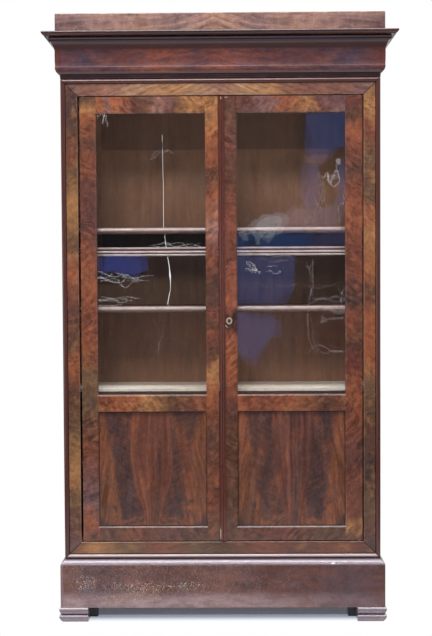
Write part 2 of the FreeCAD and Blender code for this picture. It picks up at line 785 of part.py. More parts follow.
def rightDoor():
    outerSight = rightOuter - rightOuterStile
    innerSight = rightInner + rightInnerStile
    stiles = doorMembers("right", rightOuter, rightInner, outerSight, innerSight)
    outer = stiles["outer_stile"]
    pins = []
    for level, way in ((doorTop, 1), (doorBottom, -1)):
        pin = pivotPin(rightPivotX, level, way)
        outer = outer.cut(pin)
        pins.append(pin)
    save("right_pivot_pins", *pins)
    save("right_outer_stile", relieved(outer, rightOuter))
    inner = stiles["inner_stile"].cut(lock()).cut(keyhole(doorSetback - 1, lockY + 1))
    save("right_inner_stile", inner)
    glazing("right", innerSight, outerSight)

    middle = astragalWidth / 2
    base = -astragalBase
    crown = base - reedRadius
    strip = outline((0, 0), (0, base), (middle - 2 * reedRadius, base),
                    ((middle - reedRadius, crown), (middle, base)),
                    ((middle + reedRadius, crown), (middle + 2 * reedRadius, base)),
                    (astragalWidth, base), (astragalWidth, 0))
    strip = placed(strip, Vector(rightInner, doorSetback, doorBottom), rightward, backward)
    save("astragal", strip.extrude(upward * (doorTop - doorBottom)))


feet()
plinth()
frontFrame()
sides()
caseBoards()
back()
cornice()
racks()
shelves()
pivotSockets()
leftDoor()
rightDoor()
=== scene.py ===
import json
import math
import random
import bpy
from mathutils import Matrix, Vector


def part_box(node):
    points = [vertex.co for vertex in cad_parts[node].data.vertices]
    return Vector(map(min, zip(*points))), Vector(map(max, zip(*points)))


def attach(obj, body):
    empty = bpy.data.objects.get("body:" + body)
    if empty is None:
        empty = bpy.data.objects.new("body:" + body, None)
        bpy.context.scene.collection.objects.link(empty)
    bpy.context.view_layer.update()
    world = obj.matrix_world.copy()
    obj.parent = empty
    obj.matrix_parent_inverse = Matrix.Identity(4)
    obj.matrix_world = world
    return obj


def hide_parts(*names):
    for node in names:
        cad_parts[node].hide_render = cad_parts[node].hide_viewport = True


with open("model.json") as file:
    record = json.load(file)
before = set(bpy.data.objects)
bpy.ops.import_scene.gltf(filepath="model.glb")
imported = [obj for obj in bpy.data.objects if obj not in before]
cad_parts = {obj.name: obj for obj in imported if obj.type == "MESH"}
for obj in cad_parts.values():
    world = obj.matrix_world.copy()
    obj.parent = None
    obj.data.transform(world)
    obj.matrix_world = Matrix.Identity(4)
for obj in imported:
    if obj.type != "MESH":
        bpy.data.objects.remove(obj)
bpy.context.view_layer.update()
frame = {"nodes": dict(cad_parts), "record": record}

scene = bpy.context.scene
nodes = frame["nodes"]
bodyOf = {node: body for body, members in frame["record"]["behaviour"]["bodies"].items()
          for node in members}
mm = 0.001
middleLine = -0.022  # the line that the matched veneers of the front are mirrored about

cameraSetup = {
    "place": (0.0377, -4.6555, 1.3322),  # metres, in the bookcase's own frame
    "yaw": -0.733, "pitch": -2.275, "roll": -0.316,  # degrees
    "focalPixels": 1195.2, "imageSize": (432, 636), "sensor": 36.0,
}


def addCamera(setup):
    yaw, pitch, roll = (math.radians(setup[key]) for key in ("yaw", "pitch", "roll"))
    ahead = Vector((math.sin(yaw) * math.cos(pitch), math.cos(yaw) * math.cos(pitch), math.sin(pitch)))
    right = Vector((math.cos(yaw), -math.sin(yaw), 0.0))
    up = right.cross(ahead)
    tiltedRight = right * math.cos(roll) + up * math.sin(roll)
    tiltedUp = up * math.cos(roll) - right * math.sin(roll)
    data = bpy.data.cameras.new("camera")
    data.sensor_fit = "AUTO"
    data.sensor_width = setup["sensor"]
    data.lens = setup["sensor"] * setup["focalPixels"] / setup["imageSize"][1]
    camera = bpy.data.objects.new("camera", data)
    turn = Matrix((tiltedRight, tiltedUp, -ahead)).transposed().to_4x4()
    camera.matrix_world = Matrix.Translation(setup["place"]) @ turn
    scene.collection.objects.link(camera)
    scene.camera = camera


addCamera(cameraSetup)
scene.view_settings.view_transform = "Standard"
print("camera placed")


# Named tones that the finishes are made up from, 0 to 255 as they look on a screen
palette = {
    "gold": (154, 108, 70), "orange": (138, 80, 55), "rust": (113, 65, 49), "umber": (88, 59, 47),
    "plum": (94, 59, 52), "olive": (102, 76, 57), "dusk": (68, 52, 51), "rose": (134, 96, 86),
    "sand": (168, 132, 106), "wine": (98, 53, 45), "mauve": (106, 80, 82), "smoke": (74, 46, 38),
    "grey": (84, 84, 86), "greyDark": (62, 64, 66), "bare": (164, 118, 86), "bareDark": (128, 88, 68),
    "raw": (252, 242, 230), "rawDark": (238, 222, 204), "shelf": (122, 92, 84), "shelfDark": (92, 64, 58),
    "bandRose": (130, 92, 80), "bandGold": (148, 106, 74), "bandPale": (152, 116, 92),
    "bandDusk": (114, 76, 66), "polish": (74, 42, 38), "polishDark": (56, 32, 31), "bead": (88, 48, 41),
    "attic": (134, 101, 97), "atticPale": (152, 114, 98), "atticDark": (112, 82, 82),
    "frieze": (90, 56, 56), "friezeDusk": (76, 59, 70), "friezeFlame": (122, 70, 58),
    "plinth": (108, 68, 59), "plinthRed": (84, 42, 36), "plinthDusk": (80, 54, 60),
    "lilac": (150, 134, 144), "lilacDark": (126, 108, 118),
    "panelPlume": (104, 62, 50), "panelFlank": (86, 58, 50), "panelEdge": (110, 68, 50),
    "panelWarm": (128, 74, 52), "panelDusk": (70, 50, 51),
}


def tone(shade):
    # A tone, by name or as it looks on a screen, turned into the renderer's own values.
    shares = [value / 255 for value in palette.get(shade, shade)]
    linear = [share / 12.92 if share <= 0.04045 else ((share + 0.055) / 1.055) ** 2.4 for share in shares]
    return (*linear, 1.0)


class surfaceValue:
    # A number, vector, colour or shader that changes over a surface. Sums with it add nodes.
    def __init__(self, socket):
        self.socket = socket

    def __add__(self, other):
        return worked("ADD", self, other)

    def __sub__(self, other):
        return worked("SUBTRACT", self, other)

    def __rsub__(self, other):
        return worked("SUBTRACT", other, self)

    def __mul__(self, other):
        return worked("MULTIPLY", self, other)

    def __truediv__(self, other):
        return worked("DIVIDE", self, other)

    def __abs__(self):
        return worked("ABSOLUTE", self)


def isVector(part):
    if isinstance(part, surfaceValue):
        return part.socket.type != "VALUE"
    return not isinstance(part, (int, float))


def feed(socket, value):
    if isinstance(value, surfaceValue):
        socket.id_data.links.new(value.socket, socket)
    else:
        socket.default_value = value


def nodeFor(parts, kind, places=(0, 1, 2, 3, 4), **settings):
    # A new node in the material that the parts belong to, with each of them fed in at its place.
    tree = next(part.socket.id_data for part in parts if isinstance(part, surfaceValue))
    node = tree.nodes.new(kind)
    for name, setting in settings.items():
        setattr(node, name, setting)
    for place, part in zip(places, parts):
        feed(node.inputs[place], part)
    return node


def worked(operation, *parts):
    if not any(isVector(part) for part in parts):
        return surfaceValue(nodeFor(parts, "ShaderNodeMath", operation=operation).outputs[0])
    parts = [(part,) * 3 if isinstance(part, (int, float)) else part for part in parts]
    return surfaceValue(nodeFor(parts, "ShaderNodeVectorMath", operation=operation).outputs[0])


def least(first, second):
    return worked("MINIMUM", first, second)


def most(first, second):
    return worked("MAXIMUM", first, second)


def lengthOf(vector):
    node = nodeFor([vector], "ShaderNodeVectorMath", operation="LENGTH")
    return surfaceValue(node.outputs["Value"])


def splitUp(vector):
    return [surfaceValue(socket) for socket in nodeFor([vector], "ShaderNodeSeparateXYZ").outputs]


def joined(*parts):
    # One vector out of three values, plain where all three are plain numbers.
    if not any(isinstance(part, surfaceValue) for part in parts):
        return parts
    return surfaceValue(nodeFor(parts, "ShaderNodeCombineXYZ").outputs[0])


def noise(vector, stretch, detail=3.0, rough=0.55, colour=False):
    node = nodeFor([vector * stretch], "ShaderNodeTexNoise")
    for name, setting in (("Scale", 1.0), ("Detail", detail), ("Roughness", rough)):
        node.inputs[name].default_value = setting
    return surfaceValue(node.outputs[1 if colour else 0])


def spread(value, low, high, toLow=0.0, toHigh=1.0):
    # Eases from toLow to toHigh while the value goes from low to high.
    parts = (value, low, high, toLow, toHigh)
    return surfaceValue(nodeFor(parts, "ShaderNodeMapRange", interpolation_type="SMOOTHSTEP").outputs[0])


def nearLine(value, place, width):
    # 1 on the line, falling to 0 at its width on either side.
    return spread(abs(value - place), 0.0, width, 1.0, 0.0)


def within(value, low, high, soft):
    # 1 between the two values, with soft ends.
    return spread(value, low - soft, low + soft) * spread(value, high - soft, high + soft, 1.0, 0.0)


def fromEnds(value, low, high):
    return least(value - low, high - value)


def blend(factor, first, second, kind="MIX"):
    node = nodeFor([factor, first, second], "ShaderNodeMix", (0, 6, 7), data_type="RGBA", blend_type=kind)
    return surfaceValue(node.outputs[2])


def layered(colour, *coats):
    # Coats of tone over a colour, each as strong as its share.
    for share, shade in coats:
        colour = blend(share, colour, tone(shade))
    return colour


def ramp(value, stops):
    node = nodeFor([value], "ShaderNodeValToRGB")
    while len(node.color_ramp.elements) < len(stops):
        node.color_ramp.elements.new(0.5)
    for element, (place, colour) in zip(node.color_ramp.elements, stops):
        element.position = place
        element.color = colour
    return surfaceValue(node.outputs[0])


def bump(height, strength, distance):
    node = nodeFor([strength, distance, height], "ShaderNodeBump", ("Strength", "Distance", "Height"))
    return surfaceValue(node.outputs[0])


def either(factor, first, second):
    # The first shader where the factor is 0 and the second where it is 1.
    return surfaceValue(nodeFor([factor, first, second], "ShaderNodeMixShader").outputs[0])


def shining(tree, kind, colour, strength):
    node = tree.nodes.new("ShaderNode" + kind)
    feed(node.inputs["Color"], colour)
    feed(node.inputs["Strength"], strength)
    return surfaceValue(node.outputs[0])


def newMaterial(name, settings):
    material = bpy.data.materials.new(name)
    material.use_nodes = True
    shader = material.node_tree.nodes["Principled BSDF"]
    for socket, value in settings.items():
        shader.inputs[socket].default_value = value
    return material, shader


def objectAxes(shader):
    coordinates = surfaceValue(shader.id_data.nodes.new("ShaderNodeTexCoord").outputs["Object"])
    return coordinates, dict(zip("xyz", splitUp(coordinates)))


def lightPath(tree):
    return {socket.name: surfaceValue(socket) for socket in tree.nodes.new("ShaderNodeLightPath").outputs}


def rayKinds(tree):
    # 1 for what the camera sees, straight or through clear panes, and 1 for what polish mirrors or a
    # pane lets through.
    rays = lightPath(tree)
    unbounced = worked("LESS_THAN", rays["Glossy Depth"] + rays["Diffuse Depth"], 0.5)
    seen = most(rays["Is Camera Ray"], rays["Is Transmission Ray"] * unbounced)
    return seen, most(rays["Is Glossy Ray"], rays["Is Transmission Ray"])


def pick(*pieces):
    # Selects these pieces alone, with the first of them active.
    bpy.ops.object.select_all(action="DESELECT")
    for piece in pieces:
        piece.select_set(True)
        bpy.context.view_layer.objects.active = pieces[0]


white = (1, 1, 1, 1)
lampSetup = {
    "overhead": {"place": (0.1, -1.7, 4.9), "aim": (0.0, 0.0, 1.0), "size": (3.4, 0.7), "power": 115.0},
    "front": {"place": (-0.6, -4.0, 4.5), "aim": (0.0, 0.0, 0.3), "size": (2.2, 0.9), "power": 90.0},
    "fill": {"place": (-3.6, -2.4, 0.8), "aim": (0.0, 0.0, 0.6), "size": (1.6, 1.6), "power": 20.0},
}


def addLamp(name, setup):
    data = bpy.data.lights.new(name, "AREA")
    data.shape = "RECTANGLE"
    data.size, data.size_y = setup["size"]
    data.energy = setup["power"]
    lamp = bpy.data.objects.new(name, data)
    lamp.location = setup["place"]
    toward = Vector(setup["aim"]) - Vector(setup["place"])
    lamp.rotation_euler = toward.to_track_quat("-Z", "Y").to_euler()
    scene.collection.objects.link(lamp)


worldSetup = {
    "ambient": 0.34, "tint": (0.93, 0.96, 1.0, 1.0),
    "frontGloss": 0.08, "backGloss": 1.0,  # what polish reflects: a dim room in front, white behind
    "ceiling": (0.2, 0.5), "ceilingGloss": 3.6,  # and a bright ceiling
}


def addWorld(setup):
    world = bpy.data.worlds.new("studio")
    scene.world = world
    world.use_nodes = True
    tree = world.node_tree
    tree.nodes.clear()
    seen, mirrored = rayKinds(tree)
    _, toBack, upwards = splitUp(surfaceValue(tree.nodes.new("ShaderNodeTexCoord").outputs["Generated"]))
    around = spread(toBack, -0.75, 0.15, setup["frontGloss"], setup["backGloss"])
    above = spread(upwards, *setup["ceiling"], 0.0, setup["ceilingGloss"])
    plainLight = shining(tree, "Background", setup["tint"], setup["ambient"])
    polished = either(mirrored, plainLight, shining(tree, "Background", setup["tint"], most(around, above)))
    out = tree.nodes.new("ShaderNodeOutputWorld")
    feed(out.inputs["Surface"], either(seen, polished, shining(tree, "Background", white, 1.0)))


floorSetup = {
    "size": 16.0, "footprint": (0.53, 0.06, 0.0), "paint": (0.9, 0.91, 0.93, 1.0),
    # fadeTint tints the white sheet where it fades out over the shadow: a painted bluish edge to the shadow
    "lift": 0.09, "liftTint": (0.72, 0.8, 1.0, 1.0), "fadeTint": (0.6, 0.77, 1.0, 1.0),
    "shadowEdge": (0.005, 0.019, 0.24), "shadowReach": (0.026, 0.112),  # from, to, and the edge's share
    "sheetEnd": (1.6, 2.4), "pastSheet": 0.06,  # polish mirrors the white sheet only this far out
}


def addFloor(setup):
    # Near the feet it is a lit floor that takes the shadow; further out it fades into plain white.
    pick()
    bpy.ops.mesh.primitive_plane_add(size=setup["size"], location=(0, 0, 0))
    floor = bpy.context.object
    floor.name = "floor"
    material, shader = newMaterial("paleFloor", {"Base Color": setup["paint"], "Roughness": 0.7})
    tree = material.node_tree
    coordinates, _ = objectAxes(shader)
    seen, mirrored = rayKinds(tree)
    mirrored = most(mirrored, seen) - seen
    outside = lengthOf(most(abs(coordinates) - setup["footprint"], (0, 0, 0)))
    first, second, share = setup["shadowEdge"]
    far = spread(outside, *setup["shadowReach"], 0.0, 1.0 - share)
    far = far + spread(outside, first, second, 0.0, share)
    lifted = most(seen, mirrored)
    glow = shining(tree, "Emission", setup["liftTint"], lifted * setup["lift"])
    lit = nodeFor([surfaceValue(shader.outputs[0]), glow], "ShaderNodeAddShader")
    shown = spread(lengthOf(coordinates), *setup["sheetEnd"], 1.0, setup["pastSheet"])
    sheet = shining(tree, "Emission", blend(far, setup["fadeTint"], white), 1.0 - mirrored * (1.0 - shown))
    feed(tree.nodes["Material Output"].inputs["Surface"],
         either(lifted * far, surfaceValue(lit.outputs[0]), sheet))
    floor.data.materials.append(material)


# What the old panes mirror. Each shape is drawn where the panes show it, as columns and rows of the
# view from its top left corner. A line has its width too. Later cards lie in front.
roomSetup = {"plane": -6.0, "panes": -0.1335, "layer": 2 * mm, "cards": {
    "blueWall": {"colour": (0.17, 0.35, 1.0, 1.0), "light": 0.95, "shapes": [
        [(306, 112), (346, 112), (346, 148), (338, 146), (330, 153), (318, 155), (306, 153)],
        [(304, 166), (318, 166), (320, 194), (318, 208), (304, 208)],
        [(338, 160), (346, 160), (346, 212), (338, 212)],
        [(236, 232), (308, 232), (312, 236), (304, 249), (236, 249)],
        [(236, 256), (296, 256), (294, 290), (284, 304), (236, 304)],
        [(237, 312), (250, 312), (258, 318), (274, 312), (276, 330), (262, 350), (254, 362), (237, 352)]]},
    "deepWall": {"colour": (0.13, 0.24, 1.0, 1.0), "light": 1.6, "shapes": [
        [(97, 256), (144, 256), (148, 270), (130, 277), (112, 271), (97, 274)]]},
    "duskWall": {"colour": (0.5, 0.5, 1.0, 1.0), "light": 0.62, "shapes": [
        [(313, 231), (346, 231), (346, 249), (305, 249)]]},
    "brownWall": {"colour": (1.0, 0.8, 0.6, 1.0), "light": 0.3, "shapes": [
        [(97, 285), (128, 283), (150, 278), (164, 281), (180, 277), (206, 280), (206, 304), (97, 304)]]},
    "dimWall": {"colour": (0.5, 0.34, 0.42, 1.0), "light": 0.12, "shapes": [
        [(300, 312), (346, 312), (346, 350), (318, 350), (306, 372), (290, 372)]]},
    "mauveWall": {"colour": (0.87, 0.7, 1.0, 1.0), "light": 0.8, "shapes": [
        [(284, 217), (292, 210), (306, 205), (320, 208), (334, 206), (338, 212), (338, 229), (278, 229)],
        [(305, 156), (328, 156), (324, 165), (305, 164)]]},
    "cloud": {"colour": (0.72, 0.85, 1.0, 1.0), "light": 1.9, "shapes": [
        [(250, 229), (256, 222), (264, 217), (276, 214), (284, 217), (283, 226), (276, 231)],
        [(239, 233), (247, 231), (250, 236), (243, 239)],
        [(252, 231), (263, 231), (259, 238), (262, 244), (255, 241)],
        [(266, 231), (277, 231), (272, 238), (267, 241), (264, 237)]]},
    "haze": {"colour": (0.8, 0.78, 0.85, 1.0), "light": 1.9, "lines": [
        ([(318, 172), (321, 190), (318, 206), (315, 224)], 1.6), ([(323, 178), (324, 200), (321, 214)], 0.9),
        ([(314, 258), (311, 270), (312, 288), (309, 304)], 1.3),
        ([(312, 302), (322, 298), (336, 301), (345, 299)], 1.4),
        ([(262, 258), (274, 261), (288, 258)], 1.2), ([(309, 312), (310, 338), (315, 350)], 1.0),
        ([(310, 352), (318, 346), (328, 351), (345, 351)], 1.3), ([(240, 285), (345, 286)], 0.5),
        ([(270, 262), (282, 258), (290, 260)], 1.6), ([(326, 318), (344, 317)], 3.0),
        ([(150, 160), (158, 152), (170, 151)], 1.6), ([(163, 318), (161, 340), (156, 362)], 0.7)]},
    "window": {"colour": (0.95, 0.96, 1.0, 1.0), "light": 4.2, "lines": [
        ([(322, 177), (328, 174), (331, 181), (336, 171), (339, 179), (334, 184), (330, 178)], 1.3),
        ([(337, 161), (338.5, 166)], 2.0), ([(246, 264), (252, 266), (258, 272)], 2.0),
        ([(266, 269), (274, 266), (278, 268)], 1.2), ([(345, 183), (345, 226)], 0.7),
        ([(97, 274), (108, 276), (118, 275), (132, 279), (152, 278)], 1.2),
        ([(97, 279), (108, 280), (122, 283), (128, 280)], 1.3), ([(130, 282), (140, 280)], 1.0),
        ([(99, 299), (110, 298), (120, 301), (134, 299)], 1.2), ([(98, 303), (112, 304), (124, 303)], 1.1),
        ([(103.6, 110), (102.8, 116), (103.8, 119), (103.2, 125)], 1.7),
        ([(152, 245.2), (178, 244.8), (205, 245.4)], 1.0), ([(342, 288), (342.5, 304)], 0.8),
        ([(246, 266), (254, 271), (258, 273)], 1.2)]},
}}


def mirroredSpot(column, row, plane):
    # Where something in the room has to be for the panes to show it at this column and row.
    camera = scene.camera.matrix_world
    width, height = cameraSetup["imageSize"]
    ray = camera.to_3x3() @ Vector((column - width / 2, height / 2 - row, -cameraSetup["focalPixels"]))
    start = camera.translation
    spot = start + ray * (2 * roomSetup["panes"] - plane - start.y) / ray.y
    return Vector((spot.x, plane, spot.z))


def stroke(start, end, width):
    (x1, y1), (x2, y2) = start, end
    length = math.hypot(x2 - x1, y2 - y1)
    right, down = -(y2 - y1) / length * width / 2, (x2 - x1) / length * width / 2
    return [(x1 + right, y1 + down), (x2 + right, y2 + down),
            (x2 - right, y2 - down), (x1 - right, y1 - down)]


def addRoom(setup):
    for layer, (name, card) in enumerate(setup["cards"].items()):
        material, _ = newMaterial(name, {
            "Base Color": (0, 0, 0, 1), "Specular IOR Level": 0.0, "Emission Color": card["colour"],
            "Emission Strength": card["light"]})
        outlines = list(card.get("shapes", []))
        for places, width in card.get("lines", []):
            outlines += [stroke(start, end, width) for start, end in zip(places, places[1:])]
        plane = setup["plane"] + layer * setup["layer"]
        for index, outline in enumerate(outlines):
            flat = bpy.data.meshes.new("%s%d" % (name, index))
            spots = [mirroredSpot(*place, plane) for place in outline]
            flat.from_pydata(spots, [], [tuple(range(len(spots)))])
            patch = bpy.data.objects.new(flat.name, flat)
            scene.collection.objects.link(patch)
            flat.materials.append(material)
            for ray in ("camera", "diffuse", "shadow", "volume_scatter"):
                setattr(patch, "visible_" + ray, False)


for lampName, lampValues in lampSetup.items():
    addLamp(lampName, lampValues)
addWorld(worldSetup)
addFloor(floorSetup)
addRoom(roomSetup)
print("lights, world and floor ready")


# plan names a piece's own directions: across the grain, into the depth, along the grain. lengths
# gives the tones met along it, each with its place in hundredths of the length. joints are heights
# where one length of veneer meets the next, and slants how each of them leans, in degrees.
plainWood = {
    "plan": "xyz", "seed": 0.0, "lengths": "0 umber, 100 rust", "wander": 0.03, "joints": [], "slants": [0.0],
    "streakSize": (16.0, 85.0), "streaks": 0.5, "bend": 0.03, "arch": 0.3, "archReach": 0.35,
    "cloudTone": "dusk", "clouds": 0.5, "cloudSize": (16.0, 16.0, 11.0), "cloudEdges": (0.5, 0.68),
    "glowTone": "gold", "glow": 0.35, "glowSize": (26.0, 26.0, 18.0),
    "fleck": 0.5, "fleckSize": (75.0, 75.0, 50.0), "pores": 0.3, "poreSize": (1500.0, 1500.0, 70.0),
    "rough": (0.13, 0.26), "smearSize": (24.0, 24.0, 9.0), "ripple": 1.0, "rippleSize": (9.0, 9.0, 7.0),
    "overlays": [], "marks": [],
}


def pieceName(node):
    first, *rest = node.split("_")
    return first + "".join(word.capitalize() for word in rest)


def startedWood(node, look):
    material, shader = newMaterial(pieceName(node) + "Wood", {})
    coordinates, axes = objectAxes(shader)
    return material, coordinates, axes, joined(*(axes[letter] for letter in look["plan"]))


def drifting(local, size, reach):
    # A slow, smooth shift that keeps figure and colour from running straight.
    return (noise(local, size, 1.0, colour=True) - 0.5) * reach


def slantedStreaks(look, local, along):
    # Short curls in lengths of veneer that each lean their own way.
    slants = [math.radians(slant) for slant in look["slants"]]
    slant, shift = slants[0], look["seed"]
    for joint, before, after in zip(look["joints"], slants, slants[1:]):
        past = worked("GREATER_THAN", along, joint)
        slant = past * (after - before) + slant
        shift = past * 3.71 + shift
    bent = local + drifting(local, (9.0, 9.0, 6.0), look["bend"])
    bent = bent + drifting(local, (38.0, 38.0, 30.0), look["bend"] * 0.5)
    turn = nodeFor([bent], "ShaderNodeVectorRotate", rotation_type="Y_AXIS")
    feed(turn.inputs["Angle"], slant)
    placed = surfaceValue(turn.outputs[0]) + joined(shift, shift * 1.7, shift)
    length, width = look["streakSize"]
    broad = noise(placed, (length, length, width), 2.0, 0.5)
    fine = noise(placed, (2.5 * length, 2.5 * length, 3.4 * width), 3.0, 0.6)
    patches = spread(noise(placed, (11.0, 11.0, 14.0), 2.0), 0.36, 0.66, 0.3, 1.4)
    return (broad * 0.6 + fine * 0.4 - 0.5) * patches + 0.5


def lengthTones(node, look, axes, local):
    # The tones met along the piece, with edges that wander.
    axis = look["plan"][2]
    start, end = (corner["xyz".index(axis)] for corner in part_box(node))
    sway = splitUp(drifting(local, (22.0, 22.0, 14.0), look["wander"] * 4))[2]
    stops = [stop.split() for stop in look["lengths"].split(", ")]
    place = (axes[axis] + sway - start) / (end - start)
    return ramp(place, [(float(share) / 100, tone(name)) for share, name in stops])


def streaked(colour, figure, strength):
    # Darker and lighter by the figure: 0.5 leaves the colour as it is.
    evenShade = (0.5, 0.5, 0.5, 1)
    shade = ramp(figure, [(0.32, (0.2, 0.17, 0.17, 1)), (0.5, evenShade), (0.7, (0.95, 0.9, 0.78, 1))])
    doubled = blend(1.0, colour, (2.0, 2.0, 2.0, 1), "MULTIPLY")
    return blend(1.0, doubled, blend(strength, evenShade, shade), "MULTIPLY")


def marked(colour, coordinates, marks):
    # Chips, rubs and specks: soft patches with ragged outlines.
    for mark in marks:
        away = lengthOf((coordinates - mark["at"]) / mark["size"])
        reach = noise(coordinates, mark["grain"], 2.0) * 1.6 + away
        patch = spread(reach, 1.5, 1.9, mark.get("share", 0.9), 0.0)
        if "specks" in mark:
            patch = patch * spread(noise(coordinates, mark["specks"], 1.0), 0.6, 0.68)
        colour = layered(colour, (patch, mark["tone"]))
    return colour


def finishedWood(look, started, local, colour, figure):
    material, coordinates, axes, _ = started
    seed = look["seed"]
    shifted = local + (seed, 2.3 * seed, 1.7 * seed)
    glowing = spread(noise(shifted, look["glowSize"], 3.0), 0.5, 0.7) * look["glow"]
    cloudy = noise(shifted + (4.1, 2.3, 7.7), look["cloudSize"], 4.0, 0.6)
    cloudy = spread(cloudy, *look["cloudEdges"]) * look["clouds"]
    colour = layered(colour, (glowing, look["glowTone"]), (cloudy, look["cloudTone"]))
    figure = figure + (noise(shifted, look["fleckSize"], 4.0, 0.7) - 0.5) * look["fleck"]
    colour = streaked(colour, figure, look["streaks"])
    pores = spread(noise(local, look["poreSize"], 2.0), 0.56, 0.68)
    along = axes[look["plan"][2]]
    seams = [(nearLine(along, joint, 1.1 * mm) * 0.5, (44, 27, 23)) for joint in look["joints"]]
    colour = layered(colour, (pores * look["pores"], (40, 24, 20)), *seams)
    for overlay in look["overlays"]:
        colour = overlay(colour, coordinates, axes)
    colour = marked(colour, coordinates, look["marks"])

    shader = material.node_tree.nodes["Principled BSDF"]
    feed(shader.inputs["Base Color"], colour)
    smears = noise(coordinates, look["smearSize"], 4.0, 0.65)
    feed(shader.inputs["Roughness"], cloudy * 0.06 + spread(smears, 0.34, 0.7, *look["rough"]))
    waves = noise(coordinates, look["rippleSize"], 2.0) * (4.0 * look["ripple"])
    feed(shader.inputs["Normal"], bump(waves + figure * 0.2 - pores * 0.1, 0.3, 0.5 * mm))
    return material


def veneer(node, **changes):
    look = {**plainWood, **changes}
    started = startedWood(node, look)
    _, _, axes, local = started
    figure = slantedStreaks(look, local, axes[look["plan"][2]])
    return finishedWood(look, started, local, lengthTones(node, look, axes, local), figure)


def mirroredVeneer(node, **changes):
    # Book-matched about a middle line: arched streaks that fall away on either side.
    look = {**plainWood, "plan": "zyx", **changes}
    started = startedWood(node, look)
    _, _, axes, whole = started
    local = joined(axes["z"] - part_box(node)[0].z, axes["y"], abs(axes["x"] - middleLine))
    level, _, away = splitUp(local + drifting(local, (7.0, 7.0, 5.0), look["bend"]))
    far = 1.0 - worked("POWER", math.e, away / -look["archReach"])
    place = joined(far * (look["arch"] * look["archReach"]) + level, look["seed"], away)
    width, length = look["streakSize"]
    broad = noise(place, (width, 1.0, length), 2.0, 0.5)
    fine = noise(place, (3.0 * width, 1.0, 3.0 * length), 3.0, 0.6)
    return finishedWood(look, started, local, lengthTones(node, look, axes, whole), broad * 0.6 + fine * 0.4)


featherLook = {
    **plainWood, "streaks": 0.62, "clouds": 0.25, "cloudTone": "panelDusk", "glow": 0.12,
    "glowTone": "panelWarm", "rough": (0.14, 0.3), "plumeTone": "panelPlume", "offset": -4 * mm,
    "flankShade": (0.85, 0.5), "axisShade": 0.6, "warmth": 0.55,
    "rebate": 7 * mm,  # how far the frame covers the panel's edges
}


def featherWood(node, **changes):
    # Crotch figure: a plume of fine lines that opens upwards from the middle of the foot, dark
    # mottled flanks beside it, and outer streaks that lean outwards on their way down.
    look = {**featherLook, **changes}
    started = startedWood(node, look)
    _, _, axes, local = started
    low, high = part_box(node)
    seed = look["seed"]
    sideways, _, upwards = splitUp(drifting(local + seed, (8.0, 8.0, 5.0), 0.16))
    side = (axes["x"] - ((low.x + high.x) / 2 + look["offset"])) / ((high.x - low.x) / 2) + sideways
    rise = (axes["z"] - low.z) / (high.z - low.z) + upwards
    away = abs(side)
    rightHand = worked("GREATER_THAN", side, 0.0)

    edge = spread(rise, 0.0, 0.6) * 0.2 + 0.15
    inPlume = spread(away - edge, -0.03, 0.05, 1.0, 0.0)
    beyond = spread(away - (rise * 0.32 + 0.5), -0.05, 0.07)
    inFlank = (1.0 - inPlume) * (1.0 - beyond)
    leftShade, rightShade = look["flankShade"]
    mottle = spread(noise(local, (20.0, 20.0, 16.0), 4.0, 0.65), 0.38, 0.6, 0.35, 1.0)
    shade = inFlank * (rightHand * (rightShade - leftShade) + leftShade) * mottle

    fanLines = noise(joined(side / edge, seed, rise * 0.6), (4.2, 1.0, 1.5), 4.0, 0.6)
    tall = joined(rise * 0.36 + away, rightHand * 3.0 + seed, rise)
    outerLines = noise(tall, (13.0, 1.0, 2.4), 4.0, 0.6)
    ribs = noise(joined(away, rightHand * 5.0 + seed, rise - away * 0.3), (5.0, 1.0, 38.0), 3.0, 0.6)
    figure = inPlume * fanLines + inFlank * (ribs * 0.5 + outerLines * 0.5)
    figure = figure + beyond * (1.0 - inPlume) * outerLines

    warm = spread(noise(tall, (3.0, 1.0, 1.6), 2.0), 0.46, 0.62) * look["warmth"]
    # Pink chevrons over the foot, dark knots above them and dark lower corners
    footLevel = away * 0.16 + rise
    chevrons = spread(noise(joined(footLevel, seed, away), (42.0, 1.0, 6.0), 3.0), 0.4, 0.62, 0.0, 0.8)
    atFoot = spread(footLevel, 0.1, 0.2, 1.0, 0.0) * within(away, 0.12, 0.62, 0.08)
    knots = spread(noise(local, (34.0, 34.0, 30.0), 2.0), 0.5, 0.6)
    knots = knots * within(rise, 0.1, 0.25, 0.05) * within(away, 0.32, 0.74, 0.08) * 0.7
    corner = spread(away - rise * 3.0, 0.55, 0.85) * 0.75
    # The dark streak beside the middle of the plume
    streak = abs(side - (rise * 0.1 + 0.05)) / (rise * 0.1 + 0.035)
    streak = spread(streak, 0.4, 1.2, 1.0, 0.0) * spread(rise, 0.55, 0.8, look["axisShade"], 0.0)
    # Painted shade where the panel meets the frame round it, most of all under the rail above
    rebate = look["rebate"]
    margin = least(fromEnds(axes["x"], low.x + rebate, high.x - rebate),
                   fromEnds(axes["z"], low.z + rebate, high.z - rebate))
    underRail = spread(high.z - rebate - axes["z"], 6 * mm, 22 * mm, 0.45, 0.0)
    colour = layered(
        blend(beyond, tone("panelFlank"), tone("panelEdge")), (inPlume, look["plumeTone"]),
        (warm, "panelWarm"), (shade, "panelDusk"), (atFoot * chevrons, "panelWarm"),
        (most(knots, corner), (62, 48, 52)), (streak, "dusk"),
        (spread(margin, 0.5 * mm, 5 * mm, 0.8, 0.0), (34, 22, 20)), (underRail, (48, 32, 32)))
    return finishedWood(look, started, local, colour, figure)


bareLook = {
    "lengths": "0 bare, 50 bareDark, 100 bare", "streakSize": (130.0, 3.0), "bend": 0.01, "streaks": 0.4,
    "clouds": 0.4, "cloudTone": "bareDark", "cloudSize": (9.0, 9.0, 5.0), "glow": 0.2, "glowTone": "bare",
    "pores": 0.2, "rough": (0.55, 0.8), "ripple": 0.3,
}


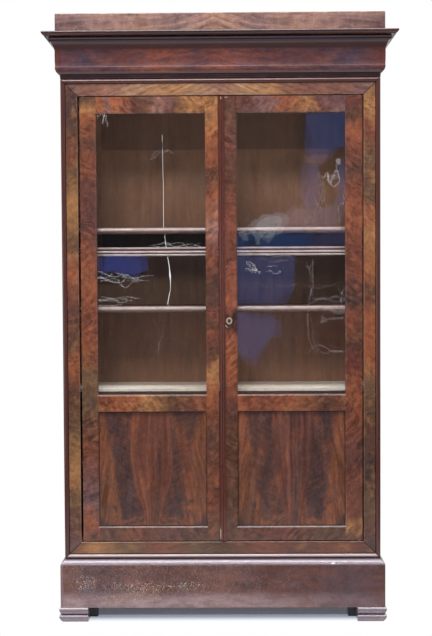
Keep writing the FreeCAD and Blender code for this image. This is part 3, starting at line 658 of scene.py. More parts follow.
def bareWood(node, **changes):
    # Unpolished inner wood, straight grained and dusty.
    return veneer(node, **{**bareLook, **changes})


sharpAngle, flatAngle = math.radians(35), math.radians(1)  # kept as edges, and dissolved
mergeReach = 0.002 * mm


def mergedCopy(node):
    # The CAD piece's loose triangles joined up in a mesh of its own, left in edit mode.
    piece = bpy.data.objects.new(pieceName(node), nodes[node].data.copy())
    scene.collection.objects.link(piece)
    pick(piece)
    bpy.ops.object.mode_set(mode="EDIT")
    bpy.ops.mesh.select_all(action="SELECT")
    bpy.ops.mesh.remove_doubles(threshold=mergeReach)
    bpy.ops.mesh.customdata_custom_splitnormals_clear()
    return piece


def standIn(piece, node, material):
    piece.data.materials.clear()
    piece.data.materials.append(material)
    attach(piece, bodyOf[node])
    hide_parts(node)


def dressed(node, finish=veneer, arris=0.4, **look):
    # The CAD piece with its edges eased by arris millimetres, as planed and polished wood has them.
    piece = mergedCopy(node)
    bpy.ops.mesh.dissolve_limited(angle_limit=flatAngle, delimit={"NORMAL"})
    bpy.ops.object.mode_set(mode="OBJECT")
    bpy.ops.object.shade_smooth_by_angle(angle=sharpAngle)
    ease = piece.modifiers.new("arris", "BEVEL")
    ease.width = arris * mm
    ease.segments = 2
    ease.limit_method = "ANGLE"
    ease.angle_limit = sharpAngle
    ease.harden_normals = True
    bpy.ops.object.modifier_apply(modifier="arris")
    standIn(piece, node, finish(node, **look))


# Attic, frieze and cornice

def dustyFoot(colour, coordinates, axes):
    # Dust and rubbed polish where the attic stands on the slab, and specks above it.
    height = axes["z"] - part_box("attic_front")[0].z
    foot = spread(noise(coordinates, 40.0) * (5 * mm) + height, 4 * mm, 7 * mm, 0.5, 0.0)
    specks = spread(noise(coordinates, 170.0, 1.0), 0.7, 0.74) * spread(height, 4 * mm, 16 * mm, 0.8, 0.0)
    return layered(colour, (foot, (178, 152, 146)), (specks, (232, 212, 196)))


# Widths from the frieze's ends, heights above its foot, and painted shade and highlight lines: height, half
# width, tone
friezeZones = {
    "strip": 37.5 * mm, "seam": 38.5 * mm, "neck": 21 * mm, "cove": 105 * mm, "nose": 130 * mm,
    "lines": [(7.2 * mm, 2.4 * mm, (34, 20, 24)), (14.8 * mm, 2.4 * mm, (28, 15, 19)),
              (18.8 * mm, 2.2 * mm, (100, 82, 86)), (142.0 * mm, 4.0 * mm, (102, 86, 94))]}


def friezeDetails(colour, coordinates, axes):
    # Plain corner strips with a dark seam beside each, painted shade on the mouldings above and below, and
    # thin lines of painted shade and painted highlight.
    low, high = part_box("frieze_front")
    outside, above = high.x - abs(axes["x"]), axes["z"] - low.z
    strip, neck, cove, nose = (friezeZones[key] for key in ("strip", "neck", "cove", "nose"))
    lines = [(nearLine(above, height, width) * 0.85, shade) for height, width, shade in friezeZones["lines"]]
    return layered(
        colour, (spread(outside, strip - 0.5 * mm, strip + 0.5 * mm, 0.7, 0.0), "wine"),
        (nearLine(outside, friezeZones["seam"], 1.6 * mm) * 0.75, (48, 28, 27)),
        (spread(above, cove - 5 * mm, cove + 4 * mm, 0.0, 0.9), (70, 47, 47)),
        (spread(above, nose - 1 * mm, nose + 1 * mm, 0.0, 0.9), (42, 25, 32)),
        (spread(above, neck - 1 * mm, neck + 1 * mm, 0.9, 0.0), (56, 36, 38)), *lines)


friezeLook = dict(
    arris=0.8, clouds=0.5, cloudTone="friezeDusk", cloudSize=(24.0, 24.0, 10.0), cloudEdges=(0.44, 0.68),
    glow=0.45, glowTone="friezeFlame", glowSize=(30.0, 30.0, 14.0), fleck=0.7, rough=(0.12, 0.22))
polishedSolid = dict(
    lengths="0 polish, 40 polishDark, 100 polish", streakSize=(90.0, 4.0), clouds=0.3, cloudTone="polishDark",
    glow=0.1, glowTone="rust", streaks=0.35, rough=(0.12, 0.2), ripple=0.4)
corniceLooks = {
    "attic_front": dict(
        finish=mirroredVeneer, arris=1.2, seed=1.3, overlays=[dustyFoot],
        lengths="0 atticDark, 12 attic, 25 atticPale, 36 attic, 50 atticPale, 62 attic, 72 atticPale, "
                "85 attic, 95 attic, 100 atticDark",
        streakSize=(42.0, 4.5), arch=0.45, archReach=0.2, streaks=0.85, bend=0.05, clouds=0.3,
        cloudTone="atticDark", cloudSize=(30.0, 30.0, 7.0), glow=0.3, glowTone="sand",
        glowSize=(40.0, 40.0, 6.0), rough=(0.2, 0.34)),
    "attic_returns": dict(
        arris=1.2, plan="zxy", seed=1.9, lengths="0 attic, 100 atticDark", streakSize=(60.0, 9.0),
        rough=(0.2, 0.34)),
    "frieze_front": dict(
        **friezeLook, finish=mirroredVeneer, seed=4.2, overlays=[friezeDetails],
        lengths="0 wine, 9 friezeDusk, 20 frieze, 34 friezeFlame, 42 frieze, 52 friezeFlame, 62 frieze, "
                "76 frieze, 88 friezeDusk, 100 wine",
        streakSize=(70.0, 8.0), arch=0.25, bend=0.08, streaks=0.45),
    "frieze_returns": dict(
        **friezeLook, plan="zxy", seed=5.2, lengths="0 wine, 100 frieze", streakSize=(40.0, 30.0)),
    "cornice_slab": dict(**polishedSolid, arris=0.5, plan="zyx", seed=2.4),
}
for node, look in corniceLooks.items():
    dressed(node, **look)
print("cornice dressed")


# Front frame: a solid bead outside, a sunk line, and a cross-banded flat with mitred corners
frameLow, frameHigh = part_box("frame_left")[0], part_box("frame_right")[1]
frameParts = {"bead": 18 * mm, "band": 64 * mm, "mitreLine": 4 * mm}


def behindFront(axes, front):
    # Rises from the front face backwards; it places the painted shade on the edges that face a gap.
    return spread(axes["y"] - front, 1.5 * mm, 4 * mm)


def frameOverlay(colour, coordinates, axes):
    fromSides = fromEnds(axes["x"], frameLow.x, frameHigh.x)
    fromFoot = fromEnds(axes["z"], frameLow.z, frameHigh.z)
    inward = least(fromSides, fromFoot)
    bead, band = frameParts["bead"], frameParts["band"]
    solid = blend(noise(coordinates, 60.0), tone("bead"), tone("polish"))
    colour = blend(spread(inward, bead - 0.5 * mm, bead + 0.5 * mm, 1.0, 0.0), colour, solid)
    # The lowest bead has a painted highlight above and a painted lilac sheen below, with a painted shade line
    # where it meets the plinth
    height = axes["z"] - frameLow.z
    lowest = spread(height - fromSides, -0.5 * mm, 0.5 * mm, 1.0, 0.0)
    beadHighlight = within(height, 8.5 * mm, bead - 2 * mm, 1.2 * mm)
    mitre = nearLine(fromSides - fromFoot, 0.0, frameParts["mitreLine"])
    patchiness = spread(noise(coordinates, (40.0, 40.0, 18.0), 3.0), 0.4, 0.65, 0.1, 0.6)
    gapShade = spread(inward, band - 1.0 * mm, band - 0.3 * mm) * behindFront(axes, frameLow.y)
    # Painted shade in the sunk line beside the bead, a painted highlight on the band's inner edge and painted
    # shade on the edges in the door gap; the mitres are dark joints
    return layered(
        colour, (lowest * beadHighlight * 0.8, (206, 186, 188)),
        (lowest * within(height, 3 * mm, 8 * mm, 1.2 * mm) * 0.55, (118, 96, 98)),
        (lowest * spread(height, 2.4 * mm, 4 * mm, 0.9, 0.0), (24, 12, 14)),
        (nearLine(inward, bead + 0.6 * mm, 2.2 * mm) * 0.85, (36, 21, 19)), (mitre * 0.95, (24, 13, 12)),
        (spread(inward, band - 4.5 * mm, band - 2 * mm) * patchiness, (150, 112, 94)), (gapShade, (30, 10, 6)))


bandLook = dict(overlays=[frameOverlay], arris=0.6)
uprightLook = dict(**bandLook, streakSize=(24.0, 90.0), streaks=0.6, fleck=0.65, clouds=0.35,
                   cloudTone="umber", glow=0.45)
frameLooks = {
    "frame_left": dict(
        **uprightLook, seed=6.1, joints=[0.83, 1.20, 1.66], slants=[-20.0, 15.0, 42.0, 25.0],
        lengths="0 mauve, 6 plum, 12 olive, 18 gold, 27 olive, 34 umber, 41 orange, 45 umber, 52 plum, "
                "60 orange, 66 olive, 74 gold, 80 olive, 84.5 rust, 89 umber, 95 dusk, 100 plum"),
    "frame_right": dict(
        **uprightLook, seed=8.8, joints=[0.90, 1.58], slants=[20.0, -38.0, -12.0],
        lengths="0 dusk, 6 plum, 10 olive, 17 dusk, 26 umber, 36 olive, 42 orange, 50 orange, 56 umber, "
                "61 orange, 67 gold, 72 orange, 76 olive, 79 umber, 84 olive, 89 rust, 94 gold, 100 olive"),
    "frame_top": dict(
        **bandLook, finish=mirroredVeneer, seed=3.1,
        lengths="0 mauve, 8 bandDusk, 16 bandRose, 24 bandPale, 34 bandGold, 44 bandPale, 50 bandRose, "
                "56 bandPale, 66 bandGold, 74 bandDusk, 86 bandDusk, 100 mauve",
        streakSize=(70.0, 8.0), arch=0.6, archReach=0.5, streaks=0.75, clouds=0.25, cloudTone="olive",
        cloudSize=(60.0, 60.0, 12.0), glow=0.4, glowTone="bandGold", glowSize=(50.0, 50.0, 10.0)),
    "frame_bottom": dict(
        **bandLook, finish=mirroredVeneer, seed=3.7,
        lengths="0 plum, 10 gold, 20 olive, 30 rust, 40 olive, 50 umber, 62 rust, 74 plum, 86 rust, "
                "100 plum",
        streakSize=(100.0, 8.0), streaks=0.4, clouds=0.35, cloudTone="plum", glow=0.3),
}
for node, look in frameLooks.items():
    dressed(node, **look)
print("front frame dressed")


# Doors
plateMiddle = sum(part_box("escutcheon"), Vector()) / 2


def doorEdges(colour, coordinates, axes):
    # Painted shade on the outer edges of the doors where they face the gap, grime round the keyhole, and
    # painted shade in the keyhole itself.
    (low, _), (_, high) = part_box("left_outer_stile"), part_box("right_outer_stile")
    inward = least(fromEnds(axes["x"], low.x, high.x), fromEnds(axes["z"], low.z, high.z))
    gapShade = spread(inward, 0.3 * mm, 0.9 * mm, 1.0, 0.0) * behindFront(axes, low.y)
    away = lengthOf((coordinates - plateMiddle) / (1.0, 9.0, 1.2))
    return layered(colour, (gapShade, (30, 10, 6)), (spread(away, 12 * mm, 22 * mm, 0.4, 0.0), (58, 36, 30)),
                   (spread(away, 6 * mm, 8 * mm, 1.0, 0.0), (8, 6, 6)))


def chip(place, size, shade, grain, **more):
    return {"at": place, "size": size, "tone": shade, "grain": grain, **more}


stileLook = dict(arris=0.35, streakSize=(17.0, 75.0), streaks=0.75, fleck=0.65, clouds=0.35, glow=0.25,
                 glowTone="orange", bend=0.05, overlays=[doorEdges])
railLook = dict(arris=0.35, plan="zyx", streakSize=(20.0, 70.0), streaks=0.75, fleck=0.7, clouds=0.4,
                cloudTone="plum", cloudSize=(24.0, 24.0, 16.0), overlays=[doorEdges])
panelLook = dict(finish=featherWood)
beadLook = dict(**polishedSolid, seed=5.0)
doorLooks = {
    "left_outer_stile": dict(
        **stileLook, seed=11.0, joints=[0.84, 1.1, 1.451], slants=[25.0, -30.0, 40.0, -20.0],
        lengths="0 plum, 3.5 orange, 9 mauve, 20 rust, 30 olive, 38 olive, 43 orange, 50 rust, "
                "60 orange, 67.5 rust, 70 plum, 80 plum, 86 rust, 90 umber, 95 orange, 97.5 gold, "
                "100 umber"),
    "left_inner_stile": {
        **stileLook, "arris": 0.04,  # the lock's mortise leaves next to no wood at its plate
        "seed": 13.0, "joints": [0.90, 1.33], "slants": [35.0, 20.0, 38.0],
        "lengths": "0 umber, 10 rust, 25 umber, 33 orange, 38.5 gold, 42 umber, 47 rust, 49 umber, "
                   "50.5 rust, 53 umber, 58 umber, 65 rust, 70 rose, 78 orange, 82 umber, 88 orange, "
                   "100 gold"},
    "right_inner_stile": dict(
        **stileLook, seed=17.0, cloudTone="smoke", joints=[0.89, 1.41], slants=[-28.0, 40.0, -15.0],
        lengths="0 umber, 28 umber, 30 plum, 33 rust, 38.5 orange, 46 orange, 48.8 smoke, 51 smoke, "
                "54 orange, 63 rust, 66 rust, 74 rust, 80 umber, 90 plum, 95.5 umber, 100 plum",
        marks=[chip((0.0172, -0.1465, 1.1229), (0.004, 0.05, 0.003), (196, 170, 160), 400.0),
               chip((0.0225, -0.1465, 1.1185), (0.003, 0.05, 0.002), (180, 150, 140), 400.0),
               chip((0.02, -0.1465, 1.981), (0.01, 0.05, 0.0016), (156, 130, 118), 300.0)]),
    "right_outer_stile": dict(
        **stileLook, seed=19.0, cloudTone="smoke", joints=[0.9, 1.86], slants=[38.0, -32.0, 10.0],
        lengths="0 umber, 2 gold, 5 rust, 20 plum, 28 rust, 33 orange, 40 wine, 45 umber, 50 rust, "
                "54.5 dusk, 60 rust, 68 rust, 73 orange, 80 rust, 83 umber, 89 rust, 93 orange, "
                "95 umber, 100 wine"),
    "left_top_rail": dict(
        **railLook, seed=32.3, slants=[-35.0],
        lengths="0 rust, 10 orange, 17 mauve, 25 orange, 36 plum, 45 umber, 55 rose, 68 plum, 80 gold, "
                "100 rust"),
    "right_top_rail": dict(
        **railLook, seed=27.1, slants=[35.0],
        lengths="0 rust, 12 plum, 30 mauve, 44 orange, 52 rust, 60 gold, 72 plum, 100 mauve"),
    "left_middle_rail": dict(
        **railLook, seed=15.7, slants=[-40.0], lengths="0 rust, 30 orange, 45 gold, 70 umber, 100 orange"),
    "right_middle_rail": dict(
        **railLook, seed=17.3, slants=[40.0], lengths="0 orange, 30 rust, 50 orange, 75 umber, 100 rust"),
    "left_bottom_rail": dict(
        **railLook, seed=15.8, slants=[-35.0], glow=0.15,
        lengths="0 plum, 20 umber, 35 rust, 60 plum, 100 umber"),
    "right_bottom_rail": dict(
        **railLook, seed=13.9, slants=[35.0], glow=0.1, lengths="0 umber, 40 wine, 70 umber, 100 umber",
        marks=[chip((0.4742, -0.1465, 0.377), (0.008, 0.05, 0.0025), (196, 172, 160), 300.0)]),
    "left_panel": dict(**panelLook, seed=2.0, flankShade=(0.9, 0.35)),
    "right_panel": dict(**panelLook, seed=2.6, flankShade=(0.6, 0.8), offset=2 * mm, plumeTone="plum"),
    "left_glazing_beads": beadLook,
    "right_glazing_beads": beadLook,
    "astragal": {
        **polishedSolid, "arris": 0.3, "seed": 2.2, "clouds": 0.2,
        "lengths": "0 wine, 30 bead, 60 wine, 100 bead",
        "marks": [chip((-0.0068, -0.1525, 0.3337), (0.0026, 0.02, 0.026), (206, 184, 168), 120.0),
                  chip((0.0027, -0.1525, 1.978), (0.0022, 0.02, 0.007), (190, 160, 148), 200.0)]},
}
for node, look in doorLooks.items():
    dressed(node, **look)
print("doors dressed")


# Plinth and feet

def palerFoot(colour, coordinates, axes):
    # Knocked and bleached towards the floor, with a rubbed left end.
    low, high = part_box("plinth_front")
    rise = (axes["z"] - low.z) / (high.z - low.z)
    along = spread(axes["x"], -0.1, 0.6, 1.0, 0.3)
    patchiness = spread(noise(coordinates, (14.0, 14.0, 40.0), 4.0, 0.7), 0.36, 0.62, 0.5, 1.0)
    hazy = spread(noise(coordinates, (9.0, 9.0, 22.0), 3.0), 0.5, 0.66, 0.0, 0.5)
    return layered(
        colour, (spread(rise, 0.16, 0.44, 0.95, 0.0) * patchiness * along, (160, 134, 136)),
        (hazy * along * within(rise, 0.2, 0.7, 0.15), (104, 84, 98)),
        (spread(axes["x"] - low.x, 8 * mm, 12 * mm, 0.7, 0.0), (128, 104, 112)))


def litArris(colour, coordinates, axes):
    # The plinth's moulding has a painted highlight on its upper edge, and painted shade beneath it, along its
    # top and against the frame.
    low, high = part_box("plinth_moulding")
    height, top = axes["z"] - low.z, high.z - low.z
    return layered(
        colour, (within(height, 8 * mm, top - 4 * mm, 2 * mm) * 0.75, (200, 186, 196)),
        (spread(height, 1 * mm, 6 * mm, 0.6, 0.0), (120, 98, 100)),
        (spread(height, top - 3 * mm, top, 0.0, 0.35), (96, 76, 82)),
        (spread(axes["y"], frameLow.y - 5 * mm, frameLow.y - 1 * mm, 0.0, 0.6), (88, 68, 74)))


# Heights on the front feet with painted shade in the grooves and below the beads, and painted highlights on
# the beads' tops: from, to, how much and the tone
footBands = [(26.5 * mm, 32.0 * mm, 0.75, (52, 44, 56)), (14.0 * mm, 20.5 * mm, 0.25, (96, 84, 96)),
             (41.0 * mm, 48.0 * mm, 0.35, (96, 84, 96)), (22.5 * mm, 25.5 * mm, 0.35, (222, 212, 220)),
             (51.5 * mm, 56.0 * mm, 0.5, (236, 222, 230))]


def reededFoot(colour, coordinates, axes):
    return layered(colour, *((within(axes["z"], low, high, 1 * mm) * share, shade)
                             for low, high, share, shade in footBands))


# The feet and the plinth's moulding are written pale lilac: a painted sheen, the bright ceiling mirrored in
# their polish
lilacSolid = {**polishedSolid, "lengths": "0 lilac, 50 lilacDark, 100 lilac", "cloudTone": "lilacDark"}
plinthLooks = {
    "plinth_front": dict(
        arris=1.2, plan="zyx", seed=9.4, overlays=[palerFoot],
        lengths="0 plinth, 12 plinthDusk, 24 plinth, 34 plinthRed, 50 plinth, 62 plinthRed, "
                "76 plinthRed, 90 plinthDusk, 100 plinthRed",
        streakSize=(45.0, 9.0), slants=[6.0], clouds=0.6, cloudTone="plinthDusk", cloudSize=(22.0, 22.0, 8.0),
        glow=0.4, glowTone="rust", glowSize=(30.0, 30.0, 10.0), fleck=0.8, rough=(0.2, 0.34),
        marks=[
            chip((-0.52, -0.17, 0.148), (0.05, 0.2, 0.03), (222, 208, 196), 40.0, specks=330.0, share=0.85),
            chip((-0.3, -0.17, 0.132), (0.16, 0.2, 0.022), (226, 208, 188), 34.0, specks=330.0, share=0.85),
            chip((-0.36, -0.17, 0.09), (0.14, 0.2, 0.02), (206, 176, 150), 30.0, specks=300.0, share=0.8),
            chip((-0.12, -0.17, 0.14), (0.05, 0.2, 0.02), (226, 208, 188), 40.0, specks=320.0, share=0.8),
            chip((-0.2, -0.17, 0.15), (0.5, 0.2, 0.1), (206, 184, 166), 20.0, specks=360.0, share=0.3)]),
    "plinth_returns": dict(
        arris=1.2, plan="zxy", seed=9.9, lengths="0 plinth, 100 plinthRed", streakSize=(50.0, 6.0),
        rough=(0.2, 0.36)),
    "plinth_moulding": {
        **lilacSolid, "arris": 0.5, "plan": "zyx", "seed": 3.5, "rough": (0.1, 0.18), "overlays": [litArris],
        "marks": [chip((0.419, -0.178, 0.2225), (0.009, 0.05, 0.003), (236, 224, 220), 300.0)]},
    "feet_front": dict(**lilacSolid, arris=0.6, plan="zyx", seed=4.5, overlays=[reededFoot]),
    "feet_back": dict(**lilacSolid, arris=0.6, plan="zxy", seed=4.8),
}
for node, look in plinthLooks.items():
    dressed(node, **look)


# Case

def backShadeAndBlotches(colour, coordinates, axes):
    # Painted shadows on the inner face of the back: under the case top, in the slot between the spare board
    # and the shelf above it, over the upper part of the compartment under the reeded shelf, and deeper
    # towards the top right; pale blotches in the wood besides.
    height, across = axes["z"], axes["x"]
    middle = within(height, 1.19, 1.40, 0.01) * spread(height, 1.26, 1.33, 0.0, 0.55)
    corner = spread(across, 0.02, 0.08, 0.0, 0.2) + spread(across, 0.3, 0.36, 0.0, 0.35)
    blotches = spread(noise(coordinates, (9.0, 9.0, 6.0), 4.0, 0.65), 0.45, 0.65, 0.0, 0.3)
    inner = layered(
        colour, (spread(height, 1.817, 1.823, 0.0, 0.42), (66, 42, 36)),
        (within(height, 1.415, 1.478, 0.004) * 0.6, (18, 18, 26)), (middle, (56, 36, 34)),
        (corner * spread(height, 1.78, 1.84), (40, 30, 38)), (blotches, (120, 92, 78)))
    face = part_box("back_boards")[0].y
    return blend(spread(axes["y"], face + 0.5 * mm, face + 3 * mm), inner, colour)


sideLook = dict(
    arris=1.0, plan="yxz", lengths="0 umber, 30 rust, 55 umber, 80 rust, 100 plum", streakSize=(80.0, 2.4),
    streaks=0.8, bend=0.07, fleck=0.15, clouds=0.25, glow=0.2, glowSize=(30.0, 30.0, 3.0), glowTone="orange")
dressed("side_left", **sideLook, seed=21.0)
dressed("side_right", **sideLook, seed=23.0)
for index, node in enumerate(("back_frame", "racks_left", "racks_right")):
    dressed(node, bareWood, seed=30.0 + index)

# The shrunken joint in the back: height, where its middle lies and how wide it gapes in millimetres
backGap = {"edges": ((-0.2375, -0.2329), (-0.23265, -0.23255)), "closed": 0.3, "profile": [
    (2.002, -0.2355, 0.0), (1.93, -0.2375, 0.0), (1.89, -0.2375, 0.0), (1.875, -0.2375, 2.0),
    (1.86, -0.2375, 1.6), (1.845, -0.2372, 0.8), (1.83, -0.237, 0.9), (1.81, -0.2366, 1.9),
    (1.72, -0.2355, 2.0), (1.64, -0.235, 2.2), (1.58, -0.2347, 2.4), (1.51, -0.2345, 2.2),
    (1.475, -0.231, 2.0), (1.43, -0.226, 2.2), (1.385, -0.219, 2.4), (1.365, -0.2155, 3.2),
    (1.34, -0.2125, 3.6), (1.325, -0.2112, 5.6), (1.317, -0.2105, 7.4), (1.306, -0.2097, 6.0),
    (1.292, -0.2087, 3.4), (1.268, -0.209, 2.2), (1.25, -0.2095, 1.8), (1.235, -0.2135, 3.0),
    (1.20, -0.2205, 2.8), (1.19, -0.2235, 1.0), (1.1815, -0.2328, 0.0)]}


def shapedBack(node, material, setup):
    piece = mergedCopy(node)
    for height, _, _ in setup["profile"]:
        bpy.ops.mesh.select_all(action="SELECT")
        bpy.ops.mesh.bisect(plane_co=(0, 0, height), plane_no=(0, 0, 1))
    for height, middle, width in setup["profile"]:
        for (low, high), outward in zip(setup["edges"], (-0.5, 0.5)):
            bpy.ops.mesh.select_all(action="DESELECT")
            bpy.ops.object.mode_set(mode="OBJECT")
            edge = [vertex for vertex in piece.data.vertices
                    if abs(vertex.co.z - height) < 0.01 * mm and low < vertex.co.x < high]
            for vertex in edge:
                vertex.select = True
            target = middle + outward * max(width, setup["closed"]) * mm
            step = target - edge[0].co.x
            bpy.ops.object.mode_set(mode="EDIT")
            bpy.ops.transform.translate(value=(step, 0, 0))
    bpy.ops.object.mode_set(mode="OBJECT")
    bpy.ops.object.shade_smooth_by_angle(angle=sharpAngle)
    standIn(piece, node, material)


backWood = bareWood("back_boards", seed=33.0, streakSize=(34.0, 2.6), streaks=0.3, fleck=0.3,
                    overlays=[backShadeAndBlotches])
shapedBack("back_boards", backWood, backGap)
dressed("foot_blocks", bareWood, plan="zyx", seed=41.0, lengths="0 grey, 100 greyDark", cloudTone="greyDark",
        glowTone="grey")
for index, node in enumerate(("case_bottom", "case_top", "plinth_back", "cornice_back_rail", "shelf_cleats")):
    dressed(node, bareWood, plan="zyx", seed=36.0 + index)

shelfLook = dict(
    arris=0.5, plan="yzx", lengths="0 shelf, 50 shelfDark, 100 shelf", streakSize=(90.0, 3.0), clouds=0.3,
    cloudTone="shelfDark", glow=0.2, glowTone="rose", rough=(0.14, 0.26), ripple=0.5)
# How far up its nose each shelf is still dark, how strong the painted highlight above that is, and how strong
# the painted shade below
shelfNoses = {
    "shelf_top": (0.4, 0.44, 0.0), "shelf_reeded": (0.0, 0.6, 0.0), "spare_board": (0.56, 0.74, 0.55),
    "shelf_middle": (0.36, 0.48, 0.0), "shelf_lower": (0.5, 0.3, 0.0)}
reedGrooveShade = (1.3985, 4.2 * mm)  # the dark line between the reeds: height and half width


# A painted highlight on the upper part of each shelf's nose and painted shade below it; on the reeded shelf,
# a painted shade line in the groove between the reeds
def noseHighlightAndShade(node, start, share, grime):
    low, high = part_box(node)

    def overlay(colour, coordinates, axes):
        nose = spread(axes["y"], low.y + 5 * mm, low.y + 8 * mm, 1.0, 0.0)
        rise = (axes["z"] - low.z) / (high.z - low.z)
        patchiness = spread(noise(coordinates, (30.0, 30.0, 60.0), 3.0), 0.35, 0.6, 0.75, 1.0)
        coats = [(nose * spread(rise, start - 0.12, start + 0.02, grime, 0.0), (58, 40, 40)),
                 (nose * spread(rise, start - 0.1, start + 0.12) * patchiness * share, (214, 194, 190))]
        if node == "shelf_reeded":
            coats.append((nose * nearLine(axes["z"], *reedGrooveShade), (26, 14, 14)))
        return layered(colour, *coats)
    return overlay


# The fixed shelf's front edge is darker below its upper rounding.
def darkerLowFront(colour, coordinates, axes):
    (_, front, _), (_, _, top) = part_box("shelf_fixed")
    frontFace = spread(axes["y"] - front, 2.4 * mm, 3.2 * mm, 1.0, 0.0)
    return layered(colour, (frontFace * spread(top - axes["z"], 8.5 * mm, 11.5 * mm), (74, 50, 46)))


for index, (node, nose) in enumerate(shelfNoses.items()):
    dressed(node, **shelfLook, seed=43.0 + index, overlays=[noseHighlightAndShade(node, *nose)])
dressed("shelf_fixed", bareWood, 0.5, plan="yzx", seed=49.0, overlays=[darkerLowFront],
        lengths="0 raw, 50 rawDark, 100 raw", cloudTone="rawDark", glowTone="raw")
print("case and shelves dressed")


# Metal. rings are tones that change with the distance from the middle of a plate: from, to, tone
metalLooks = {
    "agedBrass": dict(
        bright=(176, 148, 98), dull=(112, 86, 54), on=(
            "strike_plate", "bolt_plates", "left_pivot_pins", "right_pivot_pins", "pivot_sockets",
            "lock_bolt")),
    "darkIron": dict(
        bright=(74, 68, 64), dull=(44, 38, 34), rough=(0.45, 0.7), on=("left_top_bolt", "left_bottom_bolt")),
    "rubbedBone": dict(
        bright=(176, 158, 138), dull=(140, 118, 98), rough=(0.34, 0.55), grain=160.0, on=("escutcheon",),
        reach=(12.5 * mm, 60 * mm, 14.5 * mm),
        # The near-black middle ring is painted shade in the keyhole
        rings=[(0.36, 0.52, (92, 68, 52)), (-1.0, 0.34, (10, 7, 6)), (0.9, 2.0, (96, 74, 62))]),
    "lockIron": dict(
        bright=(74, 68, 64), dull=(44, 38, 34), rough=(0.45, 0.7), on=("lock_case",),
        # Near-black round the plate's middle: painted shade seen through the keyhole
        reach=(14 * mm, 60 * mm, 16 * mm), rings=[(-1.0, 1.0, (6, 5, 5))]),
}


def agedMetal(name, bright, dull, on, rough=(0.3, 0.55), grain=90.0, reach=None, rings=()):
    material, shader = newMaterial(name, {"Metallic": 0.0 if rings else 0.9})
    coordinates, _ = objectAxes(shader)
    mixed = noise(coordinates, grain * 7, 3.0) * 0.35 + noise(coordinates, grain, 4.0, 0.65) * 0.65
    colour = blend(spread(mixed, 0.4, 0.62), tone(bright), tone(dull))
    if rings:
        away = lengthOf((coordinates - plateMiddle) / reach)
        colour = layered(colour, *((within(away, start, end, 0.05), shade) for start, end, shade in rings))
    feed(shader.inputs["Base Color"], colour)
    feed(shader.inputs["Roughness"], spread(mixed, 0.35, 0.65, *rough))
    feed(shader.inputs["Normal"], bump(mixed, 0.4, 0.2 * mm))
    for node in on:
        for place in nodes[node].material_slots:
            place.material = material
    return material


metals = {name: agedMetal(name, **look) for name, look in metalLooks.items()}

screwSetup = {"radius": 2.4 * mm, "sides": 24, "proud": 0.3 * mm, "sunk": 0.8 * mm, "slot": 0.6 * mm,
              "seed": 5}
screwInsets = {"lock": (7 * mm, 6 * mm), "plate": 7 * mm, "boltPlate": (14 * mm, 140 * mm)}
nailSetup = {"radius": 3.2 * mm, "sides": 10, "rings": 6, "proud": 0.9 * mm, "seed": 8,
             "inset": 9 * mm, "spacing": 0.24, "across": (0.17, 0.34, 0.5, 0.67, 0.84)}


def moved(piece, place, facing, turn):
    # Sets a piece that was made facing upwards onto a surface.
    lie = Vector(facing).to_track_quat("Z", "Y").to_matrix().to_4x4()
    piece.matrix_world = Matrix.Translation(place) @ lie @ Matrix.Rotation(turn, 4, "Z")
    pick(piece)
    bpy.ops.object.transform_apply()
    return piece


def screwHead(setup, rounds):
    depth = setup["proud"] + setup["sunk"]
    pick()
    bpy.ops.mesh.primitive_cylinder_add(vertices=setup["sides"], radius=setup["radius"], depth=depth,
                                        location=(0, 0, setup["proud"] - depth / 2))
    head = bpy.context.object
    bpy.ops.object.transform_apply()
    pick()
    bpy.ops.mesh.primitive_cube_add(size=1, location=(0, 0, setup["proud"]))
    cutter = bpy.context.object
    cutter.scale = (setup["radius"] * 3, setup["slot"], setup["sunk"])
    bpy.ops.object.transform_apply()
    pick(head)
    cut = head.modifiers.new("slot", "BOOLEAN")
    cut.operation = "DIFFERENCE"
    cut.object = cutter
    cut.solver = "EXACT"
    bpy.ops.object.modifier_apply(modifier="slot")
    bpy.data.objects.remove(cutter)
    return head


def nailHead(setup, rounds):
    # Flattened and a little uneven, as hammered heads are.
    pick()
    bpy.ops.mesh.primitive_uv_sphere_add(segments=setup["sides"], ring_count=setup["rings"],
                                         radius=setup["radius"], location=(0, 0, 0))
    head = bpy.context.object
    head.scale = (rounds.uniform(0.8, 1.1), rounds.uniform(0.8, 1.1), setup["proud"] / setup["radius"])
    bpy.ops.object.transform_apply()
    bpy.ops.object.shade_smooth()
    return head


def fastened(name, makeHead, setup, places, facing, carrier, metal):
    rounds = random.Random(setup["seed"])
    heads = [moved(makeHead(setup, rounds), place, facing, rounds.uniform(0.0, math.pi)) for place in places]
    pick(*heads)
    bpy.ops.object.join()
    piece = bpy.context.object
    piece.name = name
    piece.data.materials.clear()
    piece.data.materials.append(metals[metal])
    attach(piece, bodyOf[carrier])


backwards, sideways = (0, 1, 0), (1, 0, 0)
low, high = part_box("lock_case")
(fromLeft, fromRight), fromEnd = screwInsets["lock"], screwInsets["plate"]
places = [(x, high.y, z) for x in (low.x + fromLeft, high.x - fromRight)
          for z in (low.z + fromEnd, high.z - fromEnd)]
fastened("lockScrews", screwHead, screwSetup, places, backwards, "lock_case", "darkIron")
low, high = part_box("strike_plate")
places = [(high.x, (low.y + high.y) / 2, z) for z in (low.z + fromEnd, high.z - fromEnd)]
fastened("strikeScrews", screwHead, screwSetup, places, sideways, "strike_plate", "agedBrass")
low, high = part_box("bolt_plates")
near, far = screwInsets["boltPlate"]
levels = (low.z + near, low.z + far, high.z - far, high.z - near)
places = [(high.x, (low.y + high.y) / 2, z) for z in levels]
fastened("boltPlateScrews", screwHead, screwSetup, places, sideways, "bolt_plates", "agedBrass")
low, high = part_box("back_boards")
inset = nailSetup["inset"]
places = []
rows = int((high.z - low.z - 2 * inset) / nailSetup["spacing"]) + 1
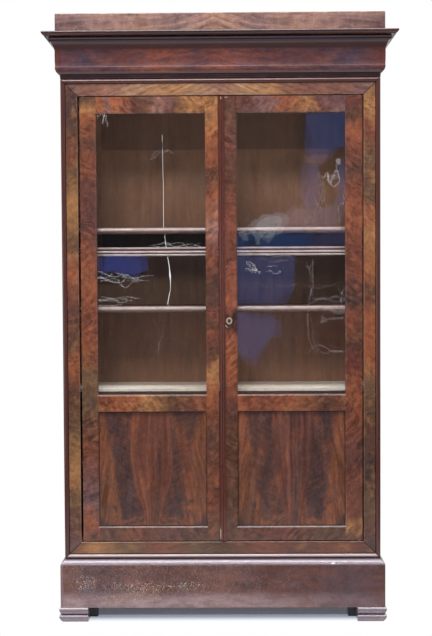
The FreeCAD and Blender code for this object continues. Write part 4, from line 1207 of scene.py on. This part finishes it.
for row in range(rows + 1):
    level = low.z + inset + (high.z - low.z - 2 * inset) * row / rows
    places += [(low.x + inset, high.y, level), (high.x - inset, high.y, level)]
    if row in (0, rows):
        places += [(low.x + (high.x - low.x) * share, high.y, level) for share in nailSetup["across"]]
fastened("backNails", nailHead, nailSetup, places, backwards, "back_boards", "darkIron")
print("locks and fastenings ready")


paneSetup = {"thickness": 2.4 * mm, "ripple": 0.35 * mm, "rippleSize": 0.11, "cells": (44, 108),
             "smooth": math.radians(40)}


def oldGlass():
    # Clear drawn glass; lamps shine straight through it.
    material, shader = newMaterial("drawnGlass", {
        "Base Color": (0.97, 0.985, 0.98, 1), "Roughness": 0.0, "IOR": 1.5, "Transmission Weight": 1.0})
    tree = material.node_tree
    coordinates, _ = objectAxes(shader)
    feed(shader.inputs["Normal"], bump(noise(coordinates, (30.0, 30.0, 11.0), 2.0), 0.1, 0.3 * mm))
    clear = surfaceValue(tree.nodes.new("ShaderNodeBsdfTransparent").outputs[0])
    rays = lightPath(tree)
    passing = most(rays["Is Shadow Ray"], rays["Is Diffuse Ray"])
    glass = either(passing, surfaceValue(shader.outputs[0]), clear)
    feed(tree.nodes["Material Output"].inputs["Surface"], glass)
    return material


def ripplingPane(side, material, setup):
    node = side + "_glass"
    low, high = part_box(node)
    pick()
    across, up = setup["cells"]
    bpy.ops.mesh.primitive_grid_add(x_subdivisions=across, y_subdivisions=up, size=1,
                                    location=(low + high) / 2, rotation=(math.radians(90), 0, 0))
    pane = bpy.context.object
    pane.name = side + "Pane"
    pane.scale = (high.x - low.x, high.z - low.z, 1)
    bpy.ops.object.transform_apply()
    thick = pane.modifiers.new("thickness", "SOLIDIFY")
    thick.thickness = setup["thickness"]
    thick.offset = 0.0
    bpy.ops.object.modifier_apply(modifier="thickness")
    waves = bpy.data.textures.new(side + "Waves", "CLOUDS")
    waves.noise_scale = setup["rippleSize"]
    waves.noise_depth = 1
    ripple = pane.modifiers.new("ripple", "DISPLACE")
    ripple.texture = waves
    ripple.texture_coords = "LOCAL"
    ripple.direction = "NORMAL"
    ripple.strength = setup["ripple"]
    ripple.mid_level = 0.5
    bpy.ops.object.modifier_apply(modifier="ripple")
    bpy.ops.object.shade_smooth_by_angle(angle=setup["smooth"])
    standIn(pane, node, material)


glass = oldGlass()
for side in ("left", "right"):
    ripplingPane(side, glass, paneSetup)
print("glass ready")
